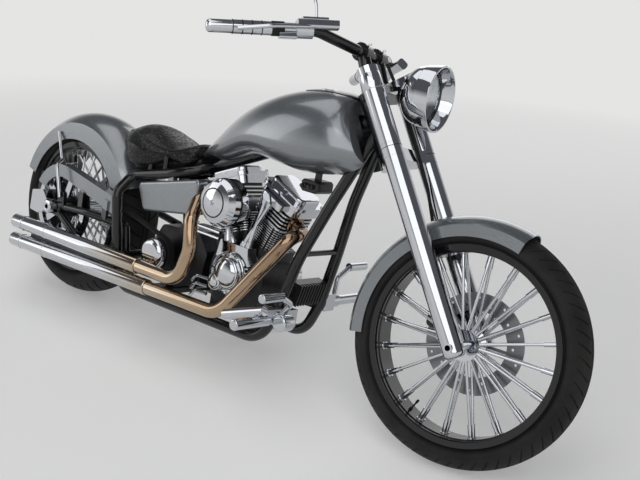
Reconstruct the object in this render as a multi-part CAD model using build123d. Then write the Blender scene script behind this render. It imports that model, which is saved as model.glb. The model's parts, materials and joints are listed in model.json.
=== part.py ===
from build123d import *
import math
import os

# Chopper motorcycle, in millimetres.
# The model is laid out upright: X forward, Y to the rider's left, Z up, with the
# origin on the base line under the rear axle. The finished pieces are then steered,
# leaned on to the side stand and moved so that the origin is the middle of the
# footprint on the ground.

# Overall layout
REAR_AXLE_UP = 327.0
HEAD_X = 1347.6
HEAD_Z = 783.3
RAKE = 34.0
FORK_REACH = 568.0
FORK_OFFSET = 60.0
HEAD_LENGTH = 205.0
LEAN = 10.0
STEER_AT_REST = 12.0
STEER_LOCK = 30.0

# Fits
SEAT_GAP = 0.3
RUN_GAP = 0.3
PRESS_GAP = 0.05
CLEAR = 5.0

# Front wheel
FRONT_BEAD_R = 267.0
FRONT_TYRE_HEIGHT = 79.0
FRONT_TYRE_W = 118.0
FRONT_CROWN_MORE = 3.0
FRONT_RIM_DROP = 10.0
FRONT_RIM_INSET = 14.0
FRONT_HUB_HALF = 36.0
FRONT_SPOKE_PAIRS = 20

# Rear wheel
REAR_BEAD_R = 229.0
REAR_TYRE_HEIGHT = 98.0
REAR_TYRE_W = 184.0
REAR_CROWN_MORE = 26.0
REAR_RIM_DROP = 14.0
REAR_RIM_INSET = 20.0
REAR_HUB_HALF = 62.0
REAR_SPOKE_PAIRS = 20

# Details shared by both wheels
RIM_LIP = 13.0
# How far beyond the bead, and how much of the drop, at each step of the rim
RIM_RIDGES = ((9.0, 0.4), (1.0, 0.4), (1.0, 0.7), (-9.0, 0.7), (-13.0, 1.0))
SPOKE_R = 4.5
SPOKE_MEET = 9.0
NIPPLE_R = 7.0
NIPPLE_LENGTH = 38.0
HUB_R = 30.0
HUB_FLANGE_R = 44.0
HUB_FLANGE_T = 11.0
AXLE_R = 12.0
AXLE_BORE_R = 8.0
AXLE_CAP_R = 20.0
AXLE_CAP = 24.0

# Brake discs
FRONT_DISC_R = 146.0
FRONT_DISC_BAND = 50.0
REAR_DISC_R = 128.0
REAR_DISC_BAND = 40.0
REAR_DISC_OUT = 56.0
FRONT_DISC_OUT = 12.6
DISC_T = 5.0
DISC_ARMS = 5
DISC_HOLES = 20
DISC_HOLE_R = 4.0
CALIPER_SLOT = 5.0

# Sheet metal
FENDER_T = 3.0
FRONT_FENDER_GAP = 16.0
FRONT_FENDER_SIDE = 11.0
FRONT_FENDER_SKIRT = 62.0
FRONT_FENDER_FROM = 72.0
FRONT_FENDER_TO = 190.0
FENDER_LUG_R = 14.0
REAR_FENDER_GAP = 25.0
REAR_FENDER_SIDE = 12.0
REAR_FENDER_EDGE = 75.0
REAR_FENDER_AHEAD = 14.0
REAR_FENDER_ABOVE = 6.0
REAR_FENDER_FROM = 24.0
REAR_FENDER_TO = 164.0

# Fork
LEG_R = 31.0
LEG_TO_FENDER = 19.0
LEG_ABOVE_YOKE = 45.0
LEG_BELOW_AXLE = 30.0
FORK_TUBE_R = 24.5
LEG_SEAM_AT = 330.0
SEAM_W = 2.0
STEM_R = 16.5
NECK_R = 36.0
LOWER_YOKE_T = 38.0
UPPER_YOKE_T = 28.0
YOKE_GAP = 1.0
YOKE_ARM_R = 27.0
YOKE_NOSE = 62.0
HOSE_R = 5.0

# Handlebar, in the fork's axes from the middle of the upper yoke: ahead, across, along the steering axis
BAR_R = 16.5
BAR_CENTRE = (34.0, 0.0, 121.0)
BAR_BEND = (-7.0, 230.0, 168.0)
BAR_END = (-204.0, 420.0, 229.0)
RISER_HALF = 48.0
RISER_R = 20.0
RISER_FOOT_AHEAD = 22.0
CLAMP_W = 36.0

# Hand controls, measured along the bar from its end
GRIP_R = 19.5
CAP_OUT = 30.0
CAP_TO = 42.0
SLEEVE_TO = 150.0
SLEEVE_RINGS = 4
SWITCH_TO = 222.0
PERCH_TO = 268.0
MASTER_TO = 338.0
LEFT_CONTROL_TURN = 32.0
RIGHT_CONTROL_TURN = -8.0
MIRROR_R = 48.0

# Headlight, placed from the middle of the upper yoke
HEADLIGHT_AHEAD = 199.6
HEADLIGHT_ALONG = -90.4
HEADLIGHT_R = 97.0
HEADLIGHT_DEPTH = 117.0
# Radius of the flat at the middle of a turned dome
POLE_R = 7.0
BEZEL_DEPTH = 38.0
LENS_R = 72.0
LENS_T = 5.0

# Frame
TUBE_R = 18.0
BACKBONE_R = 24.0
BACKBONE_BEND = 300.0
BACKBONE_BELOW_TOP = 73.0
BACKBONE_REAR = (630.0, 618.0)
BACKBONE_KNEE = (742.0, 667.0)
UPRIGHT_TO_FENDER = 43.0
DOWN_TUBE_TOP = (-61.6, 16.0, 68.7)
DOWN_TUBE_FOOT = (1100.0, 100.0, 264.0)
# Share of the way down, set back, half width, bend radius
DOWN_TUBE_BOW = ((0.385, 15.0, 52.0, 500.0), (0.716, 13.4, 92.0, 500.0))
RAIL_Z = 150.0
RAIL_FRONT = (1050.0, 104.0)
PIVOT_AT = (385.0, 247.0)
UPRIGHT_TOP = (340.0, 462.0)
# X, half width, Z, bend radius along the seat rail
SEAT_RAIL = ((350.0, 112.0, 525.0, 40.0), (560.0, 98.0, 577.0, 120.0), (612.0, 62.0, 598.0, 60.0), (636.0, 6.0, 620.0, 0.0))
# X, Z and radius of the bars across the frame
CROSS_BARS = ((1147.0, 455.0, 9.0), (480.0, 150.0, 14.0))
SEAT_POSTS = (430.0, 500.0)
SEAT_POST_R = 9.0
BELT_TO_TYRE = 22.0

# Swingarm
SWING_TUBE_R = 14.0
SWING_TO_FENDER = 44.0
SWING_FRONT_Y = 124.0
SWING_RISE = 96.0
PIVOT_TUBE_R = 18.0

# Engine
CRANK_AT = (872.0, 298.0)
CASE_R = 124.0
CASE_HALF = 74.0
V_HALF_ANGLE = 22.5
VEE_GAP = 1.5
BARREL_FROM = 150.0
BARREL_R = 50.0
BARREL_FIN_HALF = 66.0
BARREL_FINS = 11
BARREL_FIN_T = 3.0
HEAD_FROM = 236.0
HEAD_TO = 300.0
HEAD_HALF = 60.0
HEAD_FIN_HALF = 70.0
HEAD_FINS = 5
HEAD_FIN_T = 5.0
ROCKER_HEIGHT = 60.0
ROCKER_LENGTH = 180.0
ROCKER_HALF = 72.0
INTAKE_AT = (-25.0, 547.0)
INTAKE_R = 20.0
MANIFOLD_HALF = 23.0
CAM_AT = (885.0, 322.0)
CAM_R = 70.0
CAM_TOP = 96.0
PUSHROD_R = 8.0
FERRULE_R = 11.5
FERRULE_LENGTH = 18.0
PUSHROD_FOOT_Y = -96.0
PUSHROD_HEAD_Y = -82.0
PUSHRODS = ((20.0, 4.0), (46.0, 32.0))
SHELF_LENGTH = 96.0
SHELF_WALL = 5.0
SHELF_HEIGHT = 22.0
AIR_CLEANER_AT = (858.0, 547.0)
AIR_CLEANER_Y = -112.0
# Depth from the mounting face and radius, along the air cleaner's turned outline
AIR_CLEANER_PROFILE = ((0.0, 60.0), (16.0, 60.0), (16.0, 77.0), (44.0, 78.0), (44.0, 66.0), (52.0, 66.0), (52.0, 78.0),
                       (72.0, 76.0), (90.0, 64.0))
AIR_CLEANER_DEPTH = 104.0
ENGINE_FEET = (784.0, 960.0)
FOOT_TOP = 226.0

# Final drive
BELT_W = 28.0
BELT_T = 5.0
REAR_PULLEY_R = 142.0
FRONT_PULLEY_R = 56.0
OUTPUT_AT = (560.0, 300.0)
PRIMARY_OUT = 160.0
BELT_GUARD_GAP = 6.7
GUARD_T = 3.0
GUARD_DEPTH = 45.0
GUARD_FRONT_R = 90.0
GUARD_FRONT_HOLE = 20.0
GUARD_FRONT_X = 309.0
GUARD_BRACKETS = (120.0, 262.0)

# Exhaust
HEADER_R = 22.5
SLEEVE_R = 27.0
PIPE_WALL = 2.0
PORT_AT = 266.0
# X, Y, Z and bend radius, from the second corner to the outlet
UPPER_PIPE = ((758.0, -196.0, 470.0, 60.0), (782.0, -204.0, 370.0, 90.0), (750.0, -208.0, 262.0, 70.0),
              (-134.0, -230.0, 242.0, 0.0))
LOWER_PIPE = ((1118.0, -112.0, 506.0, 45.0), (946.0, -200.0, 212.0, 90.0), (-134.0, -230.0, 172.0, 0.0))
UPPER_PORT_RUN = 80.0
LOWER_PORT_RUN = 50.0
PORT_BEND = 30.0
UPPER_SLEEVE_FROM = 190.0
LOWER_SLEEVE_FROM = 330.0
OUTLET_DEPTH = 150.0

# Tank: tail, and nose measured from the lower yoke
TANK_TAIL = (606.0, 640.0)
TANK_NOSE = (-41.6, -31.3)
# Share of the way to the nose, half width, belly off the line, crown's lean and rise
TANK_ROWS = (
    (0.0, 40.0, 0.0, 0.0, 32.0), (0.134, 84.0, -5.0, 0.0, 114.0), (0.277, 118.0, 13.0, 0.0, 166.0),
    (0.42, 140.0, 13.0, 0.0, 205.0), (0.577, 152.0, -14.6, 0.0, 249.0), (0.731, 152.0, -25.9, -12.0, 255.0),
    (0.88, 138.0, -22.6, -50.0, 232.0), (1.0, 98.0, 0.0, -104.0, 172.0))
TUNNEL_GAP = 6.0
FORK_TUNNEL_HALF = 62.0
TANK_BOSS_R = 10.0
TANK_BOSSES = (0.15, 0.75)

# Seat: X, half width, underside and top
SEAT_ROWS = (
    (222.0, 40.0, 640.0, 664.0), (238.0, 78.0, 622.0, 674.0), (278.0, 114.0, 600.0, 689.0), (352.0, 150.0, 568.0, 695.0),
    (450.0, 134.0, 590.0, 660.0), (540.0, 104.0, 612.0, 662.0), (603.0, 74.0, 634.0, 676.0))

# Oil tank outline in X and Z
OIL_TANK = ((430.0, 416.0), (686.0, 462.0), (690.0, 585.0), (560.0, 552.0), (382.0, 508.0))
OIL_TANK_HALF = 120.0
OIL_TANK_ROUND = 18.0
OIL_TAB_X = 540.0

# Foot controls: side, peg in X and Z, pad's place from the peg
FOOT_CONTROLS = {"right": (1148.0, 256.0, 72.0, 98.0), "left": (1090.0, 268.0, 2.0, 112.0)}
PEG_FROM = 146.0
PEG_TO = 340.0
PEG_R = 17.0
BRACKET_IN = 102.0

REGULATOR_AT = (1113.0, 0.0, 322.0)
REGULATOR_LEAN = 13.2
REGULATOR_HALF = 64.0
REGULATOR_TALL = 72.0

# Fender struts, from the swingarm's ear to the fender: X, out from the fender's side, Z
STRUT_R = 6.0
STRUT_KNEES = ((-3.0, 74.0, 484.0), (-41.0, 26.0, 495.0))
STRUT_TOP = (-108.0, 590.0)
STRUT_FOOT = (43.0, 372.0)
STRUT_BEND = 20.0

# Side stand
STAND_BOSS_R = 16.0
STAND_BOSS_T = 22.0
STAND_PIN_R = 6.0
STAND_LEG_R = 9.0
STAND_PIVOT = (700.0, 146.0, 112.0)
STAND_FOOT_AT = (762.0, 300.0)
STAND_FOLDED = (-1.0, 0.24, -0.03)
STAND_PAD_R = 20.0
STAND_PAD_T = 8.0

# Sizes that follow from those above
rake = math.radians(RAKE)
AXIS_UP = Vector(-math.sin(rake), 0, math.cos(rake))
AXIS_AHEAD = Vector(math.cos(rake), 0, math.sin(rake))
HEAD = Vector(HEAD_X, 0, HEAD_Z)
STEER_FOOT = HEAD - AXIS_UP * FORK_REACH
LOWER_YOKE_AT = FORK_REACH
UPPER_YOKE_AT = FORK_REACH + HEAD_LENGTH
LEG_LENGTH = UPPER_YOKE_AT + LEG_ABOVE_YOKE
BACKBONE_AT = UPPER_YOKE_AT - BACKBONE_BELOW_TOP
REAR_AXLE = (0.0, 0.0, REAR_AXLE_UP)
FRONT_AXLE = tuple(STEER_FOOT + AXIS_AHEAD * FORK_OFFSET)
WHEELBASE = FRONT_AXLE[0] - REAR_AXLE[0]
FRONT_TYRE_R = FRONT_BEAD_R + FRONT_TYRE_HEIGHT
REAR_TYRE_R = REAR_BEAD_R + REAR_TYRE_HEIGHT
FRONT_CROWN_R = FRONT_TYRE_W / 2 + FRONT_CROWN_MORE
REAR_CROWN_R = REAR_TYRE_W / 2 + REAR_CROWN_MORE
FRONT_RIM_HALF = FRONT_TYRE_W / 2 - FRONT_RIM_INSET
REAR_RIM_HALF = REAR_TYRE_W / 2 - REAR_RIM_INSET
FRONT_FENDER_R = FRONT_TYRE_R + FRONT_FENDER_GAP
REAR_FENDER_R = REAR_TYRE_R + REAR_FENDER_GAP
FRONT_FENDER_HALF = FRONT_TYRE_W / 2 + FRONT_FENDER_SIDE
REAR_FENDER_HALF = REAR_TYRE_W / 2 + REAR_FENDER_SIDE
LEG_SPREAD = FRONT_FENDER_HALF + LEG_TO_FENDER + LEG_R
FRAME_HALF = REAR_FENDER_HALF + UPRIGHT_TO_FENDER + TUBE_R
SWING_REAR_Y = REAR_FENDER_HALF + SWING_TO_FENDER + SWING_TUBE_R
REAR_AXLE_HALF = SWING_REAR_Y + SWING_TUBE_R + AXLE_CAP
FRONT_AXLE_HALF = LEG_SPREAD + LEG_R + 6
FRONT_DISC_Y = FRONT_HUB_HALF + FRONT_DISC_OUT
REAR_DISC_Y = REAR_HUB_HALF + REAR_DISC_OUT
BELT_Y = -(REAR_TYRE_W / 2 + BELT_TO_TYRE + BELT_W / 2)
BELT_GUARD_R = REAR_PULLEY_R + SEAT_GAP + BELT_T + BELT_GUARD_GAP + GUARD_T
OUTPUT_COVER_Y = BELT_Y - BELT_W / 2 - 4
FORK_FRAME = Plane(origin=STEER_FOOT, x_dir=AXIS_AHEAD, z_dir=AXIS_UP)
SIDE_VIEW = Plane(origin=(0, 0, 0), x_dir=(1, 0, 0), z_dir=(0, -1, 0))


def fork_point(ahead, across, along):
    """A point given ahead of, across and along the steering axis, from the axle's level up."""
    return STEER_FOOT + AXIS_AHEAD * ahead + Vector(0, across, 0) + AXIS_UP * along


def yoke_point(ahead, across, above):
    """A point given from the middle of the upper yoke."""
    return fork_point(ahead, across, UPPER_YOKE_AT + above)


def rod(start, end, radius):
    """A round bar from start to end."""
    start = Vector(*start)
    run = Vector(*end) - start
    return extrude(Plane(origin=start, z_dir=run) * Circle(radius), run.length)


def bent_tube(points, bends, radius):
    """A round tube along straight runs joined by arcs, one bend radius per corner."""
    points = [Vector(*p) for p in points]
    path = FilletPolyline(*points, radius=bends) if len(points) > 2 else Line(*points)
    start = Plane(origin=points[0], z_dir=points[1] - points[0])
    return sweep(start * Circle(radius), path=path)


def lathe(profile, centre=(0, 0, 0)):
    """Turn a closed (across, radius) outline about the wheel axis Y through centre."""
    return lathe_face(make_face(Polyline(*profile, close=True)), centre)


def lathe_face(face, centre=(0, 0, 0)):
    """Turn a face drawn as (across, radius) about the Y axis through centre."""
    plane = Plane(origin=(0, 0, 0), x_dir=(0, 1, 0), z_dir=(1, 0, 0))
    turned = revolve(plane * face, axis=Axis.Y, revolution_arc=360)
    return Pos(*centre) * turned


def disc_y(radius, y0, y1, centre):
    """A round plate from y0 to y1 about the Y axis through centre (x, z)."""
    plane = Plane(origin=(centre[0], min(y0, y1), centre[1]), z_dir=(0, 1, 0))
    return extrude(plane * Circle(radius), abs(y1 - y0))


def button(radius, y0, y1, edge, centre):
    """A round plate from y0 out to y1 whose outer rim is rounded off."""
    plate = disc_y(radius, y0, y1, centre)
    rims = plate.edges().filter_by(GeomType.CIRCLE).sort_by(Axis.Y)
    return fillet(rims[0] if y1 < y0 else rims[-1], edge)


def plate_y(points, y0, y1):
    """A flat plate with an (x, z) outline, from y0 to y1."""
    high = max(y0, y1)
    face = make_face(Polyline(*points, close=True))
    return extrude(Plane(origin=(0, high, 0), x_dir=(1, 0, 0), z_dir=(0, -1, 0)) * face, abs(y1 - y0))


def from_axle(points):
    """Outline points given from the rear axle."""
    return [(x, REAR_AXLE_UP + z) for x, z in points]


def mirrored(shape):
    """The same piece on the other side of the machine."""
    return shape.mirror(Plane.XZ)


def tyre(bead_r, height, width, crown_r, rim_half, axle):
    """A tyre with a crowned tread and bulged sidewalls."""
    half = width / 2
    radius = bead_r + height
    shoulder = half * 0.93
    shoulder_r = radius - crown_r + math.sqrt(crown_r ** 2 - shoulder ** 2)
    lip_r = bead_r + RIM_LIP + 2
    bulge_r = (lip_r + shoulder_r) / 2
    outline = (
        ThreePointArc((-shoulder, shoulder_r), (0, radius), (shoulder, shoulder_r))
        + ThreePointArc((shoulder, shoulder_r), (half, bulge_r), (rim_half, lip_r))
        + Line((rim_half, lip_r), (rim_half, bead_r)) + Line((rim_half, bead_r), (-rim_half, bead_r))
        + Line((-rim_half, bead_r), (-rim_half, lip_r))
        + ThreePointArc((-rim_half, lip_r), (-half, bulge_r), (-shoulder, shoulder_r))
    )
    return lathe_face(make_face(outline), axle)


def rim(bead_r, drop, half, axle):
    """A drop-centre rim whose sides step down from the flange to the spoke bed."""
    seat = bead_r - SEAT_GAP
    lip_r = seat + RIM_LIP - SEAT_GAP
    wall = half + SEAT_GAP
    steps = [(half + out, bead_r - drop * share) for out, share in RIM_RIDGES]
    flange = steps[0][0]
    right = [(wall, seat), (wall, lip_r), (flange, lip_r), *steps]
    left = [(-y, r) for y, r in reversed(right)]
    return lathe(right + left, axle)


def spoked_hub(bed_r, hub_half, pairs, axle):
    """A hub with pairs of swaged spokes, each pair meeting at the rim's bed."""
    bore = AXLE_R + RUN_GAP
    neck = hub_half - HUB_FLANGE_T
    right = [(hub_half, bore), (hub_half, HUB_FLANGE_R), (neck, HUB_FLANGE_R), (neck - 6, HUB_R)]
    hub = lathe(right + [(-y, r) for y, r in reversed(right)])
    pieces = []
    for index in range(pairs):
        angle = 360.0 * index / pairs
        for side in (-1, 1):
            root = Vector(HUB_FLANGE_R - 8, side * (hub_half - HUB_FLANGE_T / 2), 0).rotate(Axis.Y, angle + side * 4)
            tip = Vector(bed_r, side * SPOKE_MEET, 0).rotate(Axis.Y, angle)
            run = (tip - root).normalized()
            pieces.append(rod(root, tip - run * 6, SPOKE_R))
            pieces.append(rod(tip - run * NIPPLE_LENGTH, tip + run * 4, NIPPLE_R))
    hub = hub.fuse(*pieces) & disc_y(bed_r - SEAT_GAP, -hub_half - 1, hub_half + 1, (0, 0))
    return Pos(*axle) * hub


def brake_disc(radius, band, y, axle, hub_half):
    """A drilled brake ring on five arms, with the boss that carries it on the hub."""
    y0, y1 = y - DISC_T / 2, y + DISC_T / 2
    ring = disc_y(radius, y0, y1, (0, 0)) - disc_y(radius - band, y0 - 1, y1 + 1, (0, 0))
    reach = radius - band / 2
    arms = [(Pos(reach / 2 + 16, y, 0) * Box(reach - 32, DISC_T, 16)).rotate(Axis.Y, 360 / DISC_ARMS * index)
            for index in range(DISC_ARMS)]
    ring = ring.fuse(*arms, disc_y(HUB_FLANGE_R - 8, hub_half + SEAT_GAP, y1, (0, 0)))
    for index in range(DISC_HOLES):
        angle = math.radians(360 / DISC_HOLES * (index + 0.5))
        row = radius - band * (0.28 if index % 2 else 0.66)
        ring -= disc_y(DISC_HOLE_R, y0 - 1, y1 + 1, (row * math.cos(angle), row * math.sin(angle)))
    ring -= disc_y(AXLE_R + RUN_GAP, -radius, radius, (0, 0))
    return Pos(*axle) * ring


def rear_pulley():
    """Drive pulley on the right of the rear hub."""
    y0, y1 = BELT_Y - BELT_W / 2, BELT_Y + BELT_W / 2
    ring = disc_y(REAR_PULLEY_R, y0, y1, (0, 0)) - disc_y(REAR_PULLEY_R - 22, y0 - 1, y1 + 1, (0, 0))
    arms = [(Pos(REAR_PULLEY_R / 2 + 6, BELT_Y, 0) * Box(REAR_PULLEY_R - 30, 12, 26)).rotate(Axis.Y, 72 * index)
            for index in range(5)]
    ring = ring.fuse(*arms, disc_y(HUB_FLANGE_R - 4, -REAR_HUB_HALF - SEAT_GAP, y0 + 2, (0, 0)))
    ring -= disc_y(AXLE_R + RUN_GAP, -2 * REAR_PULLEY_R, 0, (0, 0))
    return Pos(*REAR_AXLE) * ring


def fender(outer_r, half, edge_r, start, end, centre):
    """A wheel cover with a crowned top and side skirts, from start to end in degrees."""
    shoulder = outer_r - half * 0.42
    hi = half - FENDER_T
    outer = (
        Line((-half, edge_r), (-half, shoulder))
        + ThreePointArc((-half, shoulder), (0, outer_r), (half, shoulder))
        + Line((half, shoulder), (half, edge_r))
    )
    inner = (
        Line((hi, edge_r), (hi, shoulder))
        + ThreePointArc((hi, shoulder), (0, outer_r - FENDER_T), (-hi, shoulder))
        + Line((-hi, shoulder), (-hi, edge_r))
    )
    ends = Line((half, edge_r), (hi, edge_r)) + Line((-hi, edge_r), (-half, edge_r))
    plane = Plane(origin=(0, 0, 0), x_dir=(0, 1, 0), z_dir=(1, 0, 0))
    turned = revolve(plane * make_face(outer + inner + ends), axis=Axis.Y, revolution_arc=end - start)
    return Pos(*centre) * turned.rotate(Axis.Y, 90 - end)


def front_fender():
    """Crowned cover over the front tyre, with a lug to each fork leg."""
    cover = fender(FRONT_FENDER_R, FRONT_FENDER_HALF, FRONT_FENDER_R - FRONT_FENDER_SKIRT,
                   FRONT_FENDER_FROM, FRONT_FENDER_TO, FRONT_AXLE)
    lug_at = FRONT_FENDER_R - FRONT_FENDER_SKIRT + FENDER_LUG_R + 2
    for side in (-1, 1):
        lug = rod(fork_point(FORK_OFFSET, side * (FRONT_FENDER_HALF - 1), lug_at),
                  fork_point(FORK_OFFSET, side * (LEG_SPREAD - LEG_R / 2), lug_at), FENDER_LUG_R)
        cover += lug - leg_cover(side, LEG_R + SEAT_GAP)
    return cover


def rear_fender():
    """Wide cover round the rear tyre, set a little ahead of the axle, with a round wheel opening."""
    centre = (REAR_FENDER_AHEAD, 0, REAR_AXLE_UP + REAR_FENDER_ABOVE)
    opening = REAR_TYRE_R - REAR_FENDER_EDGE
    cover = fender(REAR_FENDER_R, REAR_FENDER_HALF, opening - REAR_FENDER_AHEAD,
                   REAR_FENDER_FROM, REAR_FENDER_TO, centre)
    return cover - disc_y(opening, -2 * REAR_FENDER_HALF, 2 * REAR_FENDER_HALF, (0, REAR_AXLE_UP))


def fender_struts():
    """Bent rods from the swingarm's ears to the fender's sides."""
    side = REAR_FENDER_HALF
    foot = (STRUT_FOOT[0], SWING_REAR_Y + SWING_TUBE_R + STRUT_R + SEAT_GAP, STRUT_FOOT[1])
    top = (STRUT_TOP[0], side + STRUT_R + SEAT_GAP, STRUT_TOP[1])
    knees = [(x, side + out, z) for x, out, z in STRUT_KNEES]
    left = bent_tube([foot, *knees, top], [STRUT_BEND, STRUT_BEND], STRUT_R)
    return Compound(children=[left, mirrored(left)])


def head_outer():
    """Steering head and backbone before the head is bored."""
    bottom = LOWER_YOKE_AT + LOWER_YOKE_T / 2 + YOKE_GAP
    top = UPPER_YOKE_AT - UPPER_YOKE_T / 2 - YOKE_GAP
    neck = rod(fork_point(0, 0, bottom), fork_point(0, 0, top), NECK_R)
    return neck + bent_tube(backbone_route(), [BACKBONE_BEND], BACKBONE_R)


def backbone_route():
    """Rear end, knee and top of the backbone tube."""
    rear, knee = [(x, 0, z) for x, z in (BACKBONE_REAR, BACKBONE_KNEE)]
    return [rear, knee, fork_point(0, 0, BACKBONE_AT)]


def frame_head():
    """Steering head and backbone tube with the tank's bosses."""
    bore = rod(fork_point(0, 0, LOWER_YOKE_AT), fork_point(0, 0, UPPER_YOKE_AT), STEM_R + RUN_GAP)
    _, knee, top = [Vector(*point) for point in backbone_route()]
    half = BACKBONE_R + TUNNEL_GAP - SEAT_GAP
    bosses = []
    for share in TANK_BOSSES:
        at = knee + (top - knee) * share
        bosses.append(disc_y(TANK_BOSS_R, -half, half, (at.X, at.Z)))
    return head_outer().fuse(*bosses) - bore


def frame_route():
    """Corners of the left frame loop with the bend radius at each: head, down tube, rail, upright, seat rail."""
    top = HEAD + Vector(*DOWN_TUBE_TOP)
    foot = Vector(*DOWN_TUBE_FOOT)
    run = Vector(foot.X - top.X, 0, foot.Z - top.Z)
    back = Vector(run.Z, 0, -run.X).normalized()
    rows = [(top.X, top.Y, top.Z, 0)]
    for share, set_back, half, bend in DOWN_TUBE_BOW:
        at = top + run * share + back * set_back
        rows.append((at.X, half, at.Z, bend))
    rows.append((foot.X, foot.Y, foot.Z, 300))
    rows.append((*RAIL_FRONT, RAIL_Z, 90))
    rows.append((PIVOT_AT[0] + 47, FRAME_HALF, RAIL_Z, 60))
    rows.append((PIVOT_AT[0] + 1, FRAME_HALF, PIVOT_AT[1], 60))
    rows.append((UPRIGHT_TOP[0], FRAME_HALF, UPRIGHT_TOP[1], 45))
    return rows + list(SEAT_RAIL)


def side_tube(radius):
    """The left frame loop as one bent tube, drawn at any radius."""
    rows = frame_route()
    return bent_tube([row[:3] for row in rows], [row[3] for row in rows[1:-1]], radius)


def frame_left():
    """Left frame loop: down tube, lower rail, rear upright and seat rail, with the seat's posts."""
    loop = side_tube(TUBE_R)
    loop &= Pos(WHEELBASE / 2, WHEELBASE / 2 + SEAT_GAP / 2, WHEELBASE / 2) * Box(WHEELBASE, WHEELBASE, WHEELBASE)
    rear, front = [Vector(*row[:3]) for row in SEAT_RAIL[:2]]
    under = Pos(0, 0, -SEAT_GAP) * seat()
    for x in SEAT_POSTS:
        at = rear + (front - rear) * ((x - rear.X) / (front.X - rear.X))
        loop += rod(at, at + Vector(0, 0, 60), SEAT_POST_R) - under.fuse(Pos(x, at.Y, at.Z + 120) * Box(80, 80, 100))
    return loop - head_outer()


def frame_right(left):
    """The right loop, with the bars that cross to the left one."""
    loop = mirrored(left)
    reach = side_tube(TUBE_R + SEAT_GAP)
    for x, z, radius in CROSS_BARS:
        half = across_at(x, z)
        loop += disc_y(radius, -half, half, (x, z)) - reach
    return loop


def across_at(x, z):
    """Half the distance between the frame's loops beside a point on the down tubes or lower rails."""
    rows = frame_route()
    best = min(zip(rows, rows[1:]), key=lambda pair: distance_to_run(x, z, *pair))
    (x0, y0, z0, _), (x1, y1, z1, _) = best
    share = ((x - x0) * (x1 - x0) + (z - z0) * (z1 - z0)) / ((x1 - x0) ** 2 + (z1 - z0) ** 2)
    return y0 + (y1 - y0) * share


def distance_to_run(x, z, start, end):
    """Distance in the side view from a point to one straight run of the frame."""
    dx, dz = end[0] - start[0], end[2] - start[2]
    share = max(0.0, min(1.0, ((x - start[0]) * dx + (z - start[2]) * dz) / (dx * dx + dz * dz)))
    return math.hypot(x - start[0] - dx * share, z - start[2] - dz * share)


def swing_upper(side, radius):
    """Upper tube of one swingarm side, drawn at any radius."""
    px, pz = PIVOT_AT
    y_rear, y_front = side * SWING_REAR_Y, side * SWING_FRONT_Y
    return bent_tube([(18, y_rear, REAR_AXLE_UP + 8), (178, y_rear, REAR_AXLE_UP + 22),
                      (px - 22, y_front, pz + SWING_RISE)], [120], radius)


def swingarm():
    """Triangulated rear arms on a cross tube between the frame's uprights."""
    px, pz = PIVOT_AT
    outer = side_tube(TUBE_R + SEAT_GAP)
    arm = disc_y(PIVOT_TUBE_R, -FRAME_HALF, FRAME_HALF, PIVOT_AT) - outer - mirrored(outer)
    for side in (-1, 1):
        y_rear, y_front = side * SWING_REAR_Y, side * SWING_FRONT_Y
        lower = bent_tube([(18, y_rear, REAR_AXLE_UP - 12), (172, y_rear, pz - 12), (px, y_front, pz)], [120],
                          SWING_TUBE_R)
        brace = rod((px - 22, y_front, pz + SWING_RISE), (px, y_front, pz), SWING_TUBE_R)
        drop = plate_y(from_axle([(-34, -24), (-34, 24), (44, 26), (44, -30)]),
                       y_rear - SWING_TUBE_R, y_rear + SWING_TUBE_R)
        ear = plate_y(from_axle([(24, 10), (30, 66), (56, 66), (64, 10)]), y_rear, y_rear + side * SWING_TUBE_R)
        arm = arm.fuse(swing_upper(side, SWING_TUBE_R), lower, brace, drop, ear)
    return arm - disc_y(AXLE_R + RUN_GAP, -2 * FRAME_HALF, 2 * FRAME_HALF, (0, REAR_AXLE_UP))


def axle_block():
    """Chromed block behind the axle on the right arm's end."""
    end = -34 - SEAT_GAP
    block = plate_y(from_axle([(-126, 37), (-62, 51), (end, 22), (end, -22), (-80, -42), (-129, -38)]),
                    -SWING_REAR_Y + SWING_TUBE_R, -SWING_REAR_Y - SWING_TUBE_R - 8)
    return fillet(block.edges().filter_by(Axis.Y), 6)


def rear_axle():
    """Axle across the swingarm with a cap at each end."""
    half = REAR_AXLE_HALF
    axle = disc_y(AXLE_R, -half, half, (0, REAR_AXLE_UP))
    for side in (-1, 1):
        axle += button(AXLE_CAP_R, side * (SWING_REAR_Y + SWING_TUBE_R + SEAT_GAP), side * half, 4, (0, REAR_AXLE_UP))
    return axle - disc_y(AXLE_BORE_R, -half - 1, half + 1, (0, REAR_AXLE_UP))


def front_axle():
    """Axle across the fork legs."""
    half = FRONT_AXLE_HALF
    at = (FRONT_AXLE[0], FRONT_AXLE[2])
    return disc_y(AXLE_R, -half, half, at) - disc_y(AXLE_BORE_R, -half - 1, half + 1, at)


def rear_caliper():
    """Brake caliper on the left arm's end, over the rear disc."""
    block = plate_y(from_axle([(-150, -40), (-150, 50), (-84, 50), (-84, -40)]), REAR_DISC_Y - 22, REAR_DISC_Y + 26)
    block = fillet(block.edges().filter_by(Axis.Y), 10)
    slot = disc_y(REAR_DISC_R + CALIPER_SLOT, REAR_DISC_Y - DISC_T / 2 - CALIPER_SLOT,
                  REAR_DISC_Y + DISC_T / 2 + CALIPER_SLOT, (0, REAR_AXLE_UP))
    end = -34 - SEAT_GAP
    arm = plate_y(from_axle([(-100, -18), (-100, 18), (end, 18), (end, -18)]), REAR_DISC_Y + 12, SWING_REAR_Y + 6)
    return (block - slot) + arm


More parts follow.
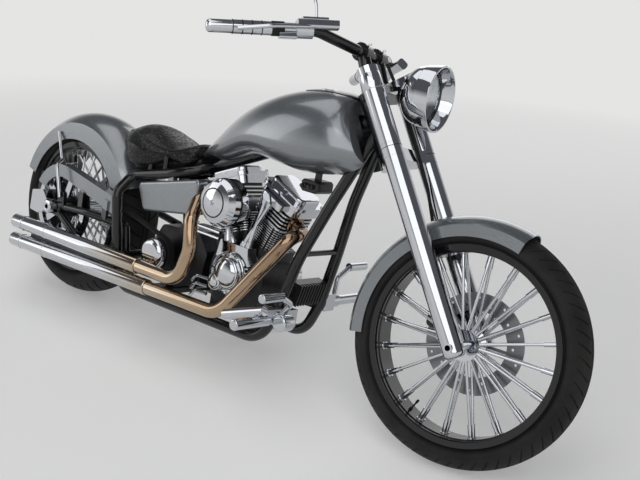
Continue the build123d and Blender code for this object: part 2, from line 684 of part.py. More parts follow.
def front_caliper():
    """Brake caliper behind the left fork leg, over the front disc, with an ear to the leg."""
    x, _, z = FRONT_AXLE
    block = plate_y([(x - 152, z + 10), (x - 152, z + 90), (x - 84, z + 90), (x - 84, z + 10)],
                    FRONT_DISC_Y - 14, FRONT_DISC_Y + 38)
    block = fillet(block.edges().filter_by(Axis.Y), 12)
    slot = disc_y(FRONT_DISC_R + CALIPER_SLOT, FRONT_DISC_Y - DISC_T / 2 - CALIPER_SLOT,
                  FRONT_DISC_Y + DISC_T / 2 + CALIPER_SLOT, (x, z))
    ear = plate_y([(x - 110, z + 20), (x - 110, z + 80), (x - 35, z + 80), (x - 25, z + 20)],
                  FRONT_DISC_Y + 29, LEG_SPREAD - 20)
    return (block - slot) + (ear - leg_cover(1, LEG_R + SEAT_GAP))


def leg_cover(side, radius):
    """The chromed cover of one fork leg, drawn at any radius."""
    y = side * LEG_SPREAD
    return rod(fork_point(FORK_OFFSET, y, -LEG_BELOW_AXLE), fork_point(FORK_OFFSET, y, LEG_LENGTH), radius)


def fork_leg(side):
    """A covered fork leg: its cover gives way to the bare tube inside each yoke."""
    y = side * LEG_SPREAD
    leg = leg_cover(side, LEG_R)
    leg = fillet(leg.edges().sort_by(Axis.Z)[0], 14)
    for at, half in ((LOWER_YOKE_AT, LOWER_YOKE_T / 2 + SEAT_GAP), (UPPER_YOKE_AT, UPPER_YOKE_T / 2 + SEAT_GAP)):
        leg -= leg_ring(y, at - half, at + half, FORK_TUBE_R)
    leg -= leg_ring(y, LEG_SEAM_AT, LEG_SEAM_AT + SEAM_W, LEG_R - SEAM_W / 2)
    bore = disc_y(AXLE_R + PRESS_GAP, -2 * LEG_SPREAD, 2 * LEG_SPREAD, (FRONT_AXLE[0], FRONT_AXLE[2]))
    return leg - bore


def leg_ring(across, low, high, inner):
    """The ring that is cut from a leg's cover between two levels."""
    start, end = fork_point(FORK_OFFSET, across, low), fork_point(FORK_OFFSET, across, high)
    return rod(start, end, 2 * LEG_R) - rod(start, end, inner)


def yoke(at, thickness):
    """A clamp plate that joins both legs to the steering stem, flush with the legs' covers."""
    base = FORK_FRAME.offset(at - thickness / 2)
    reach = math.hypot(FORK_OFFSET, LEG_SPREAD)
    heading = math.degrees(math.atan2(LEG_SPREAD, FORK_OFFSET))
    plate = extrude(base * Circle(NECK_R), thickness)
    nose = Polyline((0, 0), (FORK_OFFSET, LEG_SPREAD), (YOKE_NOSE, LEG_SPREAD / 2), (YOKE_NOSE, -LEG_SPREAD / 2),
                    (FORK_OFFSET, -LEG_SPREAD), close=True)
    plate += extrude(base * make_face(nose), thickness)
    for side in (-1, 1):
        arm = Pos(FORK_OFFSET / 2, side * LEG_SPREAD / 2) * SlotCenterToCenter(
            reach, 2 * YOKE_ARM_R, rotation=side * heading)
        plate += extrude(base * arm, thickness)
        plate += extrude(base * Pos(FORK_OFFSET, side * LEG_SPREAD) * Circle(LEG_R), thickness)
    for side in (-1, 1):
        plate -= extrude(base.offset(-thickness) * Pos(FORK_OFFSET, side * LEG_SPREAD)
                         * Circle(FORK_TUBE_R + PRESS_GAP), 3 * thickness)
    return plate


def lower_yoke():
    """Lower clamp with the steering stem."""
    stem_top = UPPER_YOKE_AT - UPPER_YOKE_T / 2 - SEAT_GAP
    return yoke(LOWER_YOKE_AT, LOWER_YOKE_T) + rod(fork_point(0, 0, LOWER_YOKE_AT), fork_point(0, 0, stem_top), STEM_R)


def upper_yoke():
    """Upper clamp with the two handlebar risers."""
    top = yoke(UPPER_YOKE_AT, UPPER_YOKE_T)
    centre = yoke_point(*BAR_CENTRE)
    for side in (-1, 1):
        y = side * RISER_HALF
        top += rod(yoke_point(RISER_FOOT_AHEAD, y, 0), (centre.X, y, centre.Z), RISER_R)
        top += disc_y(BAR_R + 11, y - CLAMP_W / 2, y + CLAMP_W / 2, (centre.X, centre.Z))
    return top - bar_tube(BAR_R + PRESS_GAP)


def bar_tube(radius):
    """The handlebar from end to end, drawn at any radius."""
    cx, _, cz = yoke_point(*BAR_CENTRE)
    bx, by, bz = yoke_point(*BAR_BEND)
    ex, ey, ez = yoke_point(*BAR_END)
    flat = RISER_HALF + 40
    points = [(ex, -ey, ez), (bx, -by, bz), (cx, -flat, cz), (cx, flat, cz), (bx, by, bz), (ex, ey, ez)]
    return bent_tube(points, [70, 60, 60, 70], radius)


def hand_control(turn, with_mirror):
    """A right grip with cap and rings, switch case, lever and brake cylinder, turned about the bar."""
    end = yoke_point(BAR_END[0], -BAR_END[1], BAR_END[2])
    inward = (yoke_point(BAR_BEND[0], -BAR_BEND[1], BAR_BEND[2]) - end).normalized()
    level = inward.cross(Vector(0, 0, 1)).normalized()
    ahead = level.rotate(Axis((0, 0, 0), inward), turn)
    up = ahead.cross(inward).normalized()

    def at(along, forward, above):
        return end + inward * along + ahead * forward + up * above

    cap = rod(at(-CAP_OUT, 0, 0), at(CAP_TO, 0, 0), GRIP_R - 1)
    cap = fillet(cap.edges().filter_by(GeomType.CIRCLE).sort_by(Axis(end, inward))[0], GRIP_R - 6)
    grip = rod(at(CAP_TO - 1, 0, 0), at(SLEEVE_TO, 0, 0), GRIP_R)
    pitch = (SLEEVE_TO - CAP_TO) / SLEEVE_RINGS
    for index in range(SLEEVE_RINGS):
        low, high = at(CAP_TO + pitch * index, 0, 0), at(CAP_TO + pitch * index + 3, 0, 0)
        grip -= rod(low, high, GRIP_R + 1) - rod(low, high, GRIP_R - 1.5)
    switch = rod(at(SLEEVE_TO - 1, 0, 0), at(SWITCH_TO, 0, 0), GRIP_R - 1)
    case = extrude(Plane(origin=at(SLEEVE_TO + 22, 4, -12), x_dir=ahead, z_dir=inward) * RectangleRounded(26, 30, 5), 50)
    perch = rod(at(SWITCH_TO - 1, 0, 0), at(PERCH_TO, 0, 0), GRIP_R + 5)
    body = extrude(Plane(origin=at(SWITCH_TO - 4, 34, 10), x_dir=ahead, z_dir=inward) * RectangleRounded(34, 26, 9),
                   MASTER_TO - SWITCH_TO)
    lid = extrude(Plane(origin=at(SWITCH_TO + 10, 34, 24), x_dir=ahead, z_dir=inward) * RectangleRounded(28, 10, 4),
                  MASTER_TO - SWITCH_TO - 44)
    arm = extrude(Plane(origin=at(SWITCH_TO + 4, 24, 6), x_dir=ahead, z_dir=inward) * Rectangle(40, 16), 38)
    lever = bent_tube([at(SWITCH_TO + 34, 44, 2), at(SLEEVE_TO, 62, -4), at(CAP_TO + 8, 56, -14)], [150], 6)
    control = cap.fuse(grip, switch, case, perch, body, lid, arm, lever)
    if with_mirror:
        glass = at(SWITCH_TO - 18, 44, 168)
        stem = bent_tube([at(SWITCH_TO + 50, 34, 20), at(SWITCH_TO + 48, 38, 84), glass + Vector(6, 0, -20)], [60], 5)
        dish = extrude(Plane(origin=glass, z_dir=(1, 0, 0)) * Circle(MIRROR_R), 12)
        control += stem + fillet(dish.edges().filter_by(GeomType.CIRCLE).sort_by(Axis.X)[-1], 8)
    return control - bar_tube(BAR_R + PRESS_GAP)


def headlight_centre():
    """Middle of the headlight's front rim."""
    return yoke_point(HEADLIGHT_AHEAD, 0, HEADLIGHT_ALONG)


def headlight():
    """Chromed bowl with a deep bezel, on a wedge from the upper yoke."""
    radius, depth, bezel = HEADLIGHT_R, HEADLIGHT_DEPTH, BEZEL_DEPTH
    seam = bezel + 10
    back = bezel + 8
    dish = back + 38
    bowl_r = radius - 9
    outline = (
        Line((-depth, 0), (-depth, POLE_R))
        + ThreePointArc((-depth, POLE_R), (-depth + 19, bowl_r * 0.68), (-seam, bowl_r))
        + Line((-seam, bowl_r), (-seam, bowl_r + 3)) + Line((-seam, bowl_r + 3), (-4, radius))
        + Line((-4, radius), (0, radius - 2)) + Line((0, radius - 2), (0, radius - 6))
        + Line((0, radius - 6), (-bezel, LENS_R + 6)) + Line((-bezel, LENS_R + 6), (-bezel, LENS_R))
        + Line((-bezel, LENS_R), (-back, LENS_R))
        + ThreePointArc((-back, LENS_R), (-back - 28, LENS_R * 0.6), (-dish, POLE_R))
        + Line((-dish, POLE_R), (-dish, 0)) + Line((-dish, 0), (-depth, 0))
    )
    centre = headlight_centre()
    bowl = Pos(*centre) * revolve(SIDE_VIEW * make_face(outline), axis=Axis.X, revolution_arc=360)
    side = Plane(origin=yoke_point(0, 0, 0), x_dir=AXIS_AHEAD, z_dir=(0, -1, 0))
    foot = YOKE_NOSE + SEAT_GAP
    wedge = make_face(Polyline((foot, -13), (foot, 13), (foot + 88, 14), (foot + 70, -30), close=True))
    return bowl + extrude(side * wedge, 20, both=True)


def headlight_lens():
    """Clear lens at the bottom of the bezel."""
    centre = headlight_centre() - Vector(BEZEL_DEPTH + LENS_T + 1, 0, 0)
    return extrude(Plane(origin=centre, z_dir=(1, 0, 0)) * Circle(LENS_R - SEAT_GAP), LENS_T)


def front_brake_hose():
    """Hose from under the handlebar, past both yokes, down the left leg to the caliper."""
    x, _, z = FRONT_AXLE
    front = YOKE_NOSE + HOSE_R + CLEAR
    inner = LEG_SPREAD - LEG_R - HOSE_R - SEAT_GAP
    route = [yoke_point(front - 6, 30, 86), yoke_point(front, 31, 12), yoke_point(front, 34, -110),
             fork_point(front, 40, LOWER_YOKE_AT), fork_point(front - 18, inner - 6, LOWER_YOKE_AT - 96),
             fork_point(28, inner, 330), fork_point(12, inner, 214), (x - 118, FRONT_DISC_Y + 22, z + 90 + HOSE_R)]
    return bent_tube(route, [160, 200, 200, 90, 180, 300], HOSE_R)


def along_cylinder(side):
    """Working plane on a cylinder's axis at the crank, side -1 for the rear cylinder."""
    lean = math.radians(V_HALF_ANGLE) * side
    return Plane(origin=(CRANK_AT[0], 0, CRANK_AT[1]), x_dir=(math.cos(lean), 0, -math.sin(lean)),
                 z_dir=(math.sin(lean), 0, math.cos(lean)))


def half_space(side):
    """The block on one side of the vee's middle plane."""
    return Pos(CRANK_AT[0] + side * (VEE_GAP + 200), 0, CRANK_AT[1] + 200) * Box(400, 400, 700)


def cylinder(side):
    """A finned barrel and head with its intake port, trimmed at the middle of the vee."""
    plane = along_cylinder(side)
    body = extrude(plane.offset(BARREL_FROM) * Circle(BARREL_R), HEAD_TO - BARREL_FROM)
    body += extrude(plane.offset(HEAD_FROM) * RectangleRounded(2 * HEAD_HALF, 2 * HEAD_HALF, 20), HEAD_TO - HEAD_FROM)
    # Count, thickness, half width, corner, from and to
    stacks = ((BARREL_FINS, BARREL_FIN_T, BARREL_FIN_HALF, 40, BARREL_FROM, HEAD_FROM),
              (HEAD_FINS, HEAD_FIN_T, HEAD_FIN_HALF, 22, HEAD_FROM, HEAD_TO))
    fins = []
    for count, thick, half, corner, low, high in stacks:
        outline = RectangleRounded(2 * half, 2 * half, corner)
        pitch = (high - low) / count
        fins += [extrude(plane.offset(low + pitch * index) * outline, thick) for index in range(count)]
    port = rod((CRANK_AT[0] + side * (MANIFOLD_HALF + SEAT_GAP), *INTAKE_AT),
               (CRANK_AT[0] + side * (HEAD_HALF + MANIFOLD_HALF), *INTAKE_AT), INTAKE_R)
    return body.fuse(*fins, port) & half_space(side)


def rocker_box(side):
    """A cast cover in three layers over one head, with a shelf over the pushrods."""
    plane = along_cylinder(side)
    low, mid = HEAD_TO + ROCKER_HEIGHT * 0.45, HEAD_TO + ROCKER_HEIGHT * 0.65
    base = extrude(plane.offset(HEAD_TO) * RectangleRounded(ROCKER_LENGTH - 12, 2 * ROCKER_HALF - 12, 26), low - HEAD_TO)
    lid = extrude(plane.offset(low) * RectangleRounded(ROCKER_LENGTH, 2 * ROCKER_HALF, 30), mid - low)
    top = extrude(plane.offset(mid) * RectangleRounded(ROCKER_LENGTH - 30, 2 * ROCKER_HALF - 40, 24),
                  HEAD_TO + ROCKER_HEIGHT - mid)
    crest = top.faces().sort_by(Axis(plane.origin, plane.z_dir))[-1]
    top = fillet(crest.edges(), 7)
    shelf_out = PUSHROD_HEAD_Y - PUSHROD_R - SHELF_WALL
    shelf_in = -ROCKER_HALF / 2
    shelf = extrude(plane.offset(HEAD_TO) * Pos(0, (shelf_in + shelf_out) / 2) * RectangleRounded(
        SHELF_LENGTH, shelf_in - shelf_out, 10), SHELF_HEIGHT)
    return base.fuse(lid, top, shelf) & half_space(side)


def crankcase():
    """Round case with a deck under each cylinder and feet on the frame's rails."""
    case = disc_y(CASE_R, -CASE_HALF, CASE_HALF, CRANK_AT)
    case = fillet(case.edges().filter_by(GeomType.CIRCLE), 8)
    for side in (-1, 1):
        deck = extrude(along_cylinder(side) * Rectangle(130, 2 * CASE_HALF - 10), BARREL_FROM - SEAT_GAP)
        case += deck & half_space(side)
    return case.fuse(*[rail_foot(x) for x in ENGINE_FEET])


def rail_foot(x):
    """A foot across the lower rails that carries the engine or the gearbox."""
    half = across_at(x, RAIL_Z)
    low = RAIL_Z + TUBE_R / 2
    flange = Pos(x, 0, low + 9) * Box(56, 2 * half, 18)
    web = Pos(x, 0, (low + FOOT_TOP) / 2) * Box(40, 2 * CASE_HALF - 30, FOOT_TOP - low)
    outer = side_tube(TUBE_R + SEAT_GAP)
    return (flange - outer - mirrored(outer)) + web


def pushrod_tubes():
    """Two tubes with end ferrules from the cam cover to each rocker box on the right side."""
    cover = Pos(0, 0, SEAT_GAP) * cam_cover()
    tubes = []
    for side in (-1, 1):
        plane = along_cylinder(side)
        box = Location(plane.z_dir * -SEAT_GAP) * rocker_box(side)
        for foot, head in PUSHRODS:
            low = Vector(CAM_AT[0] + side * foot, PUSHROD_FOOT_Y, CAM_AT[1] + CAM_TOP - 6)
            high = plane.from_local_coords((-side * head, PUSHROD_HEAD_Y, HEAD_TO + 6))
            run = (high - low).normalized()
            tube = rod(low, high, PUSHROD_R)
            tube += rod(low, low + run * (FERRULE_LENGTH + 6), FERRULE_R)
            tube += rod(high - run * (FERRULE_LENGTH + 6), high, FERRULE_R)
            tubes.append(tube - cover - box)
    return Compound(children=tubes)


def cam_cover():
    """Chromed side cover over the cams, with its round bulge and the pushrods' seat."""
    x, z = CAM_AT
    face = -CASE_HALF - SEAT_GAP
    cover = button(CAM_R, face, face - 50, 8, CAM_AT)
    cover += button(CAM_R - 16, face - 49, face - 62, 8, CAM_AT)
    cover += button(29, face, face - 74, 9, (x - 34, z - 36))
    top = plate_y([(x - 72, z + 40), (x + 72, z + 40), (x + 62, z + CAM_TOP), (x - 62, z + CAM_TOP)], face, face - 40)
    return cover + top


def air_cleaner():
    """Round filter housing with two bands, a groove between them and a domed cover."""
    x, z = AIR_CLEANER_AT
    last_depth, last_r = AIR_CLEANER_PROFILE[-1]
    depth = AIR_CLEANER_DEPTH
    outline = Polyline((0, 0), *[(-d, r) for d, r in AIR_CLEANER_PROFILE])
    bulge = (last_depth + (depth - last_depth) * 0.75, last_r * 0.5)
    outline += ThreePointArc((-last_depth, last_r), (-bulge[0], bulge[1]), (-depth, POLE_R))
    outline += Polyline((-depth, POLE_R), (-depth, 0), (0, 0))
    return lathe_face(make_face(outline), (x, AIR_CLEANER_Y, z))


def carburettor():
    """Intake body between the heads, with its float bowl and manifold."""
    x, z = CRANK_AT[0], INTAKE_AT[1]
    body = disc_y(22, INTAKE_AT[0] + 10, AIR_CLEANER_Y + SEAT_GAP, (x, z))
    manifold = rod((x - MANIFOLD_HALF, *INTAKE_AT), (x + MANIFOLD_HALF, *INTAKE_AT), INTAKE_R - 2)
    bowl = rod((x, -82, z), (x, -82, z - 44), 20)
    return body.fuse(manifold, bowl)


def gearbox():
    """Gear case behind the crankcase, with its output shaft, front pulley and foot."""
    x, z = OUTPUT_AT
    case = plate_y([(x - 84, z - 90), (x + 150, z - 90), (x + 172, z + 40), (x + 120, z + 100), (x - 60, z + 86),
                    (x - 92, z + 30)], -CASE_HALF, CASE_HALF)
    case = fillet(case.edges().filter_by(Axis.Y), 22) - disc_y(CASE_R + SEAT_GAP, -CASE_R, CASE_R, CRANK_AT)
    shaft = disc_y(14, -CASE_HALF, OUTPUT_COVER_Y + SEAT_GAP, OUTPUT_AT)
    pulley = disc_y(FRONT_PULLEY_R, BELT_Y - BELT_W / 2, BELT_Y + BELT_W / 2, OUTPUT_AT)
    return case.fuse(shaft, pulley, rail_foot(x))


def primary_cover():
    """Long chain case on the left, from the crank to the gearbox, with its clutch cover."""
    reach = CRANK_AT[0] - OUTPUT_AT[0]
    mid_x = (CRANK_AT[0] + OUTPUT_AT[0]) / 2
    inner = CASE_HALF + SEAT_GAP
    slot = Plane(origin=(mid_x, inner, CRANK_AT[1]), x_dir=(1, 0, 0), z_dir=(0, 1, 0))
    cover = extrude(slot * SlotCenterToCenter(reach, 196), PRIMARY_OUT - 12 - inner)
    cover += extrude(slot * SlotCenterToCenter(reach - 10, 158), PRIMARY_OUT - inner)
    cover += button(62, PRIMARY_OUT - 1, PRIMARY_OUT + 8, 4, OUTPUT_AT)
    return cover + button(40, PRIMARY_OUT - 1, PRIMARY_OUT + 5, 3, CRANK_AT)


def output_cover():
    """Round chromed cap outside the front pulley."""
    return button(54, OUTPUT_COVER_Y, OUTPUT_COVER_Y - 30, 22, OUTPUT_AT)


def tangent_loop(centre_a, radius_a, centre_b, radius_b):
    """The outline of a belt round two wheels, given in (x, z), as a closed face."""
    ax, az = centre_a
    bx, bz = centre_b
    reach = math.hypot(bx - ax, bz - az)
    heading = math.atan2(bz - az, bx - ax)
    spread = math.acos((radius_a - radius_b) / reach)
    top, bottom = heading + spread, heading - spread

    def on(centre, radius, angle):
        return (centre[0] + radius * math.cos(angle), centre[1] + radius * math.sin(angle))

    a_top, a_bottom = on(centre_a, radius_a, top), on(centre_a, radius_a, bottom)
    b_top, b_bottom = on(centre_b, radius_b, top), on(centre_b, radius_b, bottom)
    back = on(centre_a, radius_a, heading + math.pi)
    front = on(centre_b, radius_b, heading)
    return make_face(Line(a_top, b_top) + ThreePointArc(b_top, front, b_bottom) + Line(b_bottom, a_bottom)
                     + ThreePointArc(a_bottom, back, a_top))


def drive_belt():
    """Belt from the gearbox to the rear pulley."""
    hub = (REAR_AXLE[0], REAR_AXLE[2])
    inner_gap = SEAT_GAP
    outer_gap = SEAT_GAP + BELT_T
    outer = tangent_loop(hub, REAR_PULLEY_R + outer_gap, OUTPUT_AT, FRONT_PULLEY_R + outer_gap)
    inner = tangent_loop(hub, REAR_PULLEY_R + inner_gap, OUTPUT_AT, FRONT_PULLEY_R + inner_gap)
    plane = Plane(origin=(0, BELT_Y + BELT_W / 2 - 1, 0), x_dir=(1, 0, 0), z_dir=(0, -1, 0))
    return extrude(plane * (outer - inner), BELT_W - 2)


def belt_guard():
    """Sheet cover over the belt's upper run: a top band, an outer face and two brackets on the swingarm."""
    hub = (REAR_AXLE[0], REAR_AXLE[2])
    outside = BELT_Y - BELT_W / 2 - CLEAR - GUARD_T
    outer = tangent_loop(hub, BELT_GUARD_R, OUTPUT_AT, GUARD_FRONT_R)
    under = tangent_loop(hub, BELT_GUARD_R - GUARD_T, OUTPUT_AT, GUARD_FRONT_R - GUARD_T)
    hole = tangent_loop(hub, BELT_GUARD_R - GUARD_DEPTH, OUTPUT_AT, GUARD_FRONT_HOLE)
    inside = BELT_Y + BELT_W / 2 + 2
    band = extrude(Plane(origin=(0, inside, 0), x_dir=(1, 0, 0), z_dir=(0, -1, 0)) * (outer - under), inside - outside)
    face = extrude(Plane(origin=(0, outside + GUARD_T, 0), x_dir=(1, 0, 0), z_dir=(0, -1, 0)) * (outer - hole), GUARD_T)
    keep = plate_y([(-200, REAR_AXLE_UP + 85), (-200, 600), (GUARD_FRONT_X, 600), (GUARD_FRONT_X, REAR_AXLE_UP + 18),
                    (150, REAR_AXLE_UP + 60), (0, REAR_AXLE_UP + 40), (-60, REAR_AXLE_UP + 40)],
                   outside - 10, inside + 10)
    guard = (band + face) & keep
    for x in GUARD_BRACKETS:
        bracket = plate_y([(x, REAR_AXLE_UP + 20), (x, REAR_AXLE_UP + 92), (x + 24, REAR_AXLE_UP + 88),
                           (x + 24, REAR_AXLE_UP + 20)], outside + GUARD_T, outside - 7)
        guard += bracket - swing_upper(-1, SWING_TUBE_R + SEAT_GAP) - below_swing(x)
    return guard


def below_swing(x):
    """The space below the middle of the right upper swingarm tube, near x."""
    return Pos(x, -SWING_REAR_Y, REAR_AXLE_UP - 30) * Box(80, 120, 100)


def exhaust(port, outward, route, sleeve_from):
    """An open pipe from a head's port: a bent header with a straight sleeve over its last run."""
    rows = [(*port, 0), (*(port + outward), PORT_BEND), *route]
    points = [row[:3] for row in rows]
    pipe = bent_tube(points, [row[3] for row in rows[1:-1]], HEADER_R)
    end = Vector(*points[-1])
    run = (end - Vector(*points[-2])).normalized()
    pipe += rod(Vector(*points[-2]) + run * sleeve_from, end, SLEEVE_R)
    return pipe - rod(end - run * OUTLET_DEPTH, end + run, SLEEVE_R - PIPE_WALL)


def upper_exhaust():
    """Pipe from the right side of the rear head."""
    port = along_cylinder(-1).from_local_coords((-40, -HEAD_FIN_HALF - SEAT_GAP, PORT_AT))
    return exhaust(port, Vector(0, -UPPER_PORT_RUN, 0), UPPER_PIPE, UPPER_SLEEVE_FROM)


def lower_exhaust():
    """Pipe from the front of the front head."""
    plane = along_cylinder(1)
    port = plane.from_local_coords((HEAD_FIN_HALF + SEAT_GAP, -20, PORT_AT))
    return exhaust(port, plane.x_dir * LOWER_PORT_RUN, LOWER_PIPE, LOWER_SLEEVE_FROM)


def tank_section(half, low, high):
    """One cross-section of the tank, from its low to its high point: a flat belly under a high crown."""
    rise = high - low
    height = rise.length
    waist = height * 0.36
    upper = EllipticalCenterArc((0, waist), half, height - waist, start_angle=0, arc_size=180)
    lower = EllipticalCenterArc((0, waist), half, waist, start_angle=180, arc_size=180)
    plane = Plane(origin=low, x_dir=(0, 1, 0), z_dir=Vector(0, 1, 0).cross(rise))
    return plane * make_face(upper + lower)


def fuel_tank():
    """Stretched teardrop tank with a tunnel for the backbone."""
    tail = Vector(TANK_TAIL[0], 0, TANK_TAIL[1])
    nose = HEAD + Vector(TANK_NOSE[0], 0, TANK_NOSE[1])
    sections = []
    for share, half, off, lean, rise in TANK_ROWS:
        low = tail + (nose - tail) * share + Vector(0, 0, off)
        sections.append(tank_section(half, low, low + Vector(lean, 0, rise)))
    roof = BACKBONE_R + TUNNEL_GAP
    (rear_x, rear_z), (knee_x, knee_z) = BACKBONE_REAR, BACKBONE_KNEE
    top = fork_point(0, 0, BACKBONE_AT)
    low_z = rear_z - 200
    tunnel = plate_y([(rear_x - 100, low_z), (top.X + 40, low_z), (top.X + 40, top.Z + roof + 16), (top.X, top.Z + roof),
                      (knee_x, knee_z + roof), (rear_x - 100, rear_z - 44 + roof)], -roof, roof)
    (tube_x, _, tube_z, _), (knee2_x, _, knee2_z, _) = frame_route()[:2]
    back = TUBE_R + 14
    fork_tunnel = plate_y([(knee2_x - back, knee2_z), (tube_x - back, tube_z), (tube_x + 100, tube_z + 20),
                           (tube_x + 100, knee2_z)], -FORK_TUNNEL_HALF, FORK_TUNNEL_HALF)
    return loft(sections) - tunnel - fork_tunnel


def seat_section(x, half, low, high):
    """A cushion cross-section with a rounded top."""
    mid = (low + high) / 2
    base = half - 12
    outline = (Line((-base, low), (base, low)) + Line((base, low), (half, mid))
               + ThreePointArc((half, mid), (0, high), (-half, mid)) + Line((-half, mid), (-base, low)))
    return Plane(origin=(x, 0, 0), x_dir=(0, 1, 0), z_dir=(1, 0, 0)) * make_face(outline)


def seat():
    """Solo saddle: dished, with a raised back."""
    return loft([seat_section(*row) for row in SEAT_ROWS])


def oil_tank():
    """Oil tank under the seat, hung from the frame's rails and cut round the rear rocker box."""
    tank = plate_y(OIL_TANK, -OIL_TANK_HALF, OIL_TANK_HALF)
    tank = fillet(tank.edges().filter_by(Axis.Y), OIL_TANK_ROUND)
    for side in (-1, 1):
        face = tank.faces().sort_by(Axis.Y)[0 if side < 0 else -1]
        tank = fillet(face.edges(), 10)
    room = along_cylinder(-1).offset(HEAD_FROM - 60)
    tank -= extrude(room * Rectangle(ROCKER_LENGTH + 2 * CLEAR, 2 * (ROCKER_HALF + CLEAR)), 60 + HEAD_TO + ROCKER_HEIGHT)
    outer = side_tube(TUBE_R + SEAT_GAP)
    half = across_at(OIL_TAB_X, SEAT_RAIL[1][2])
    for side in (-1, 1):
        tab = Pos(OIL_TAB_X, side * half, OIL_TANK[3][1]) * Box(24, 20, 24)
        tank += tab - (outer if side > 0 else mirrored(outer))
    return tank


def foot_control(hand):
    """Forward peg on its bracket with a pedal arm and pad, made for the left and mirrored for the right."""
    x, z, pad_ahead, pad_above = FOOT_CONTROLS[hand]
    bracket = plate_y([(x - 66, z - 26), (x - 66, z + 24), (x + 34, z + 36), (x + 34, z - 20)], BRACKET_IN, PEG_FROM)
    bracket -= side_tube(TUBE_R + SEAT_GAP)
    peg = disc_y(PEG_R - 4, PEG_FROM - 1, PEG_FROM + 50, (x, z)) + button(PEG_R, PEG_FROM + 49, PEG_TO, 6, (x, z))
    pivot = disc_y(22, PEG_FROM - 1, PEG_FROM + 30, (x + 12, z + 6))
    pad_at = Vector(x + pad_ahead, 0, z + pad_above)
    arm = bent_tube([(x + 12, PEG_FROM + 18, z + 6), (x + pad_ahead * 0.9 + 2, PEG_FROM + 32, z + pad_above * 0.7),
                     (pad_at.X, PEG_FROM + 90, pad_at.Z)], [24], 9)
    pad = button(14, PEG_FROM + 84, PEG_FROM + 172, 5, (pad_at.X, pad_at.Z))
    control = bracket.fuse(peg, pivot, arm, pad)
    if hand == "left":
        return control
    cylinder_from = Vector(x - 138, PEG_FROM + 90, z - 20)
    cylinder_to = Vector(x + 14, PEG_FROM + 84, z + 36)
    master = rod(cylinder_from, cylinder_to, 15)
    drum = button(27, PEG_FROM - 1, PEG_FROM + 44, 8, (x + 40, z + 2))
    link = rod(cylinder_to - Vector(8, 0, 4), (x + 12, PEG_FROM + 20, z + 6), 7)
    return mirrored(control.fuse(master, drum, link))


def regulator():
    """Finned box between the down tubes, on a plate that reaches from tube to tube."""
    box = Box(30, 2 * REGULATOR_HALF, REGULATOR_TALL)
    fins = [Pos(21, (index - 4.5) * REGULATOR_HALF / 5, 0) * Box(16, 4, REGULATOR_TALL) for index in range(10)]
    half = across_at(REGULATOR_AT[0], REGULATOR_AT[2])
    unit = box.fuse(*fins, Box(6, 2 * half - 4, REGULATOR_TALL / 2)).rotate(Axis.Y, REGULATOR_LEAN)
    outer = side_tube(TUBE_R + SEAT_GAP)
    return Pos(*REGULATOR_AT) * unit - outer - mirrored(outer)


def side_stand(foot):
    """Stand leg from its pivot on the left lower rail to the ground."""
    pivot = Vector(*STAND_PIVOT)
    run = (foot - pivot).normalized()
    leg = rod(pivot + run * 8, foot - run * 6, STAND_LEG_R)
    hinge = Plane(origin=pivot, z_dir=stand_axis(foot))
    leg += hinge.location * Cylinder(STAND_BOSS_R, STAND_BOSS_T)
    return leg - hinge.location * Cylinder(STAND_PIN_R + RUN_GAP, 4 * STAND_BOSS_T)


def stand_bracket(foot):
    """Lug under the left lower rail with the stand's pivot pin."""
    pivot = Vector(*STAND_PIVOT)
    up = stand_axis(foot)
    plate_at = pivot + up * (STAND_BOSS_T / 2 + RUN_GAP + 4)
    lug = Plane(origin=plate_at, z_dir=up).location * Cylinder(STAND_BOSS_R, 8)
    lug += rod(plate_at + up * 6, (STAND_PIVOT[0], STAND_PIVOT[1] - 8, RAIL_Z), 11)
    return lug + rod(pivot - up * STAND_BOSS_T / 2, plate_at, STAND_PIN_R)


def stand_axis(foot):
    """Hinge axis that carries the leg from its deployed to its folded direction."""
    down = (foot - Vector(*STAND_PIVOT)).normalized()
    return down.cross(Vector(*STAND_FOLDED).normalized()).normalized()


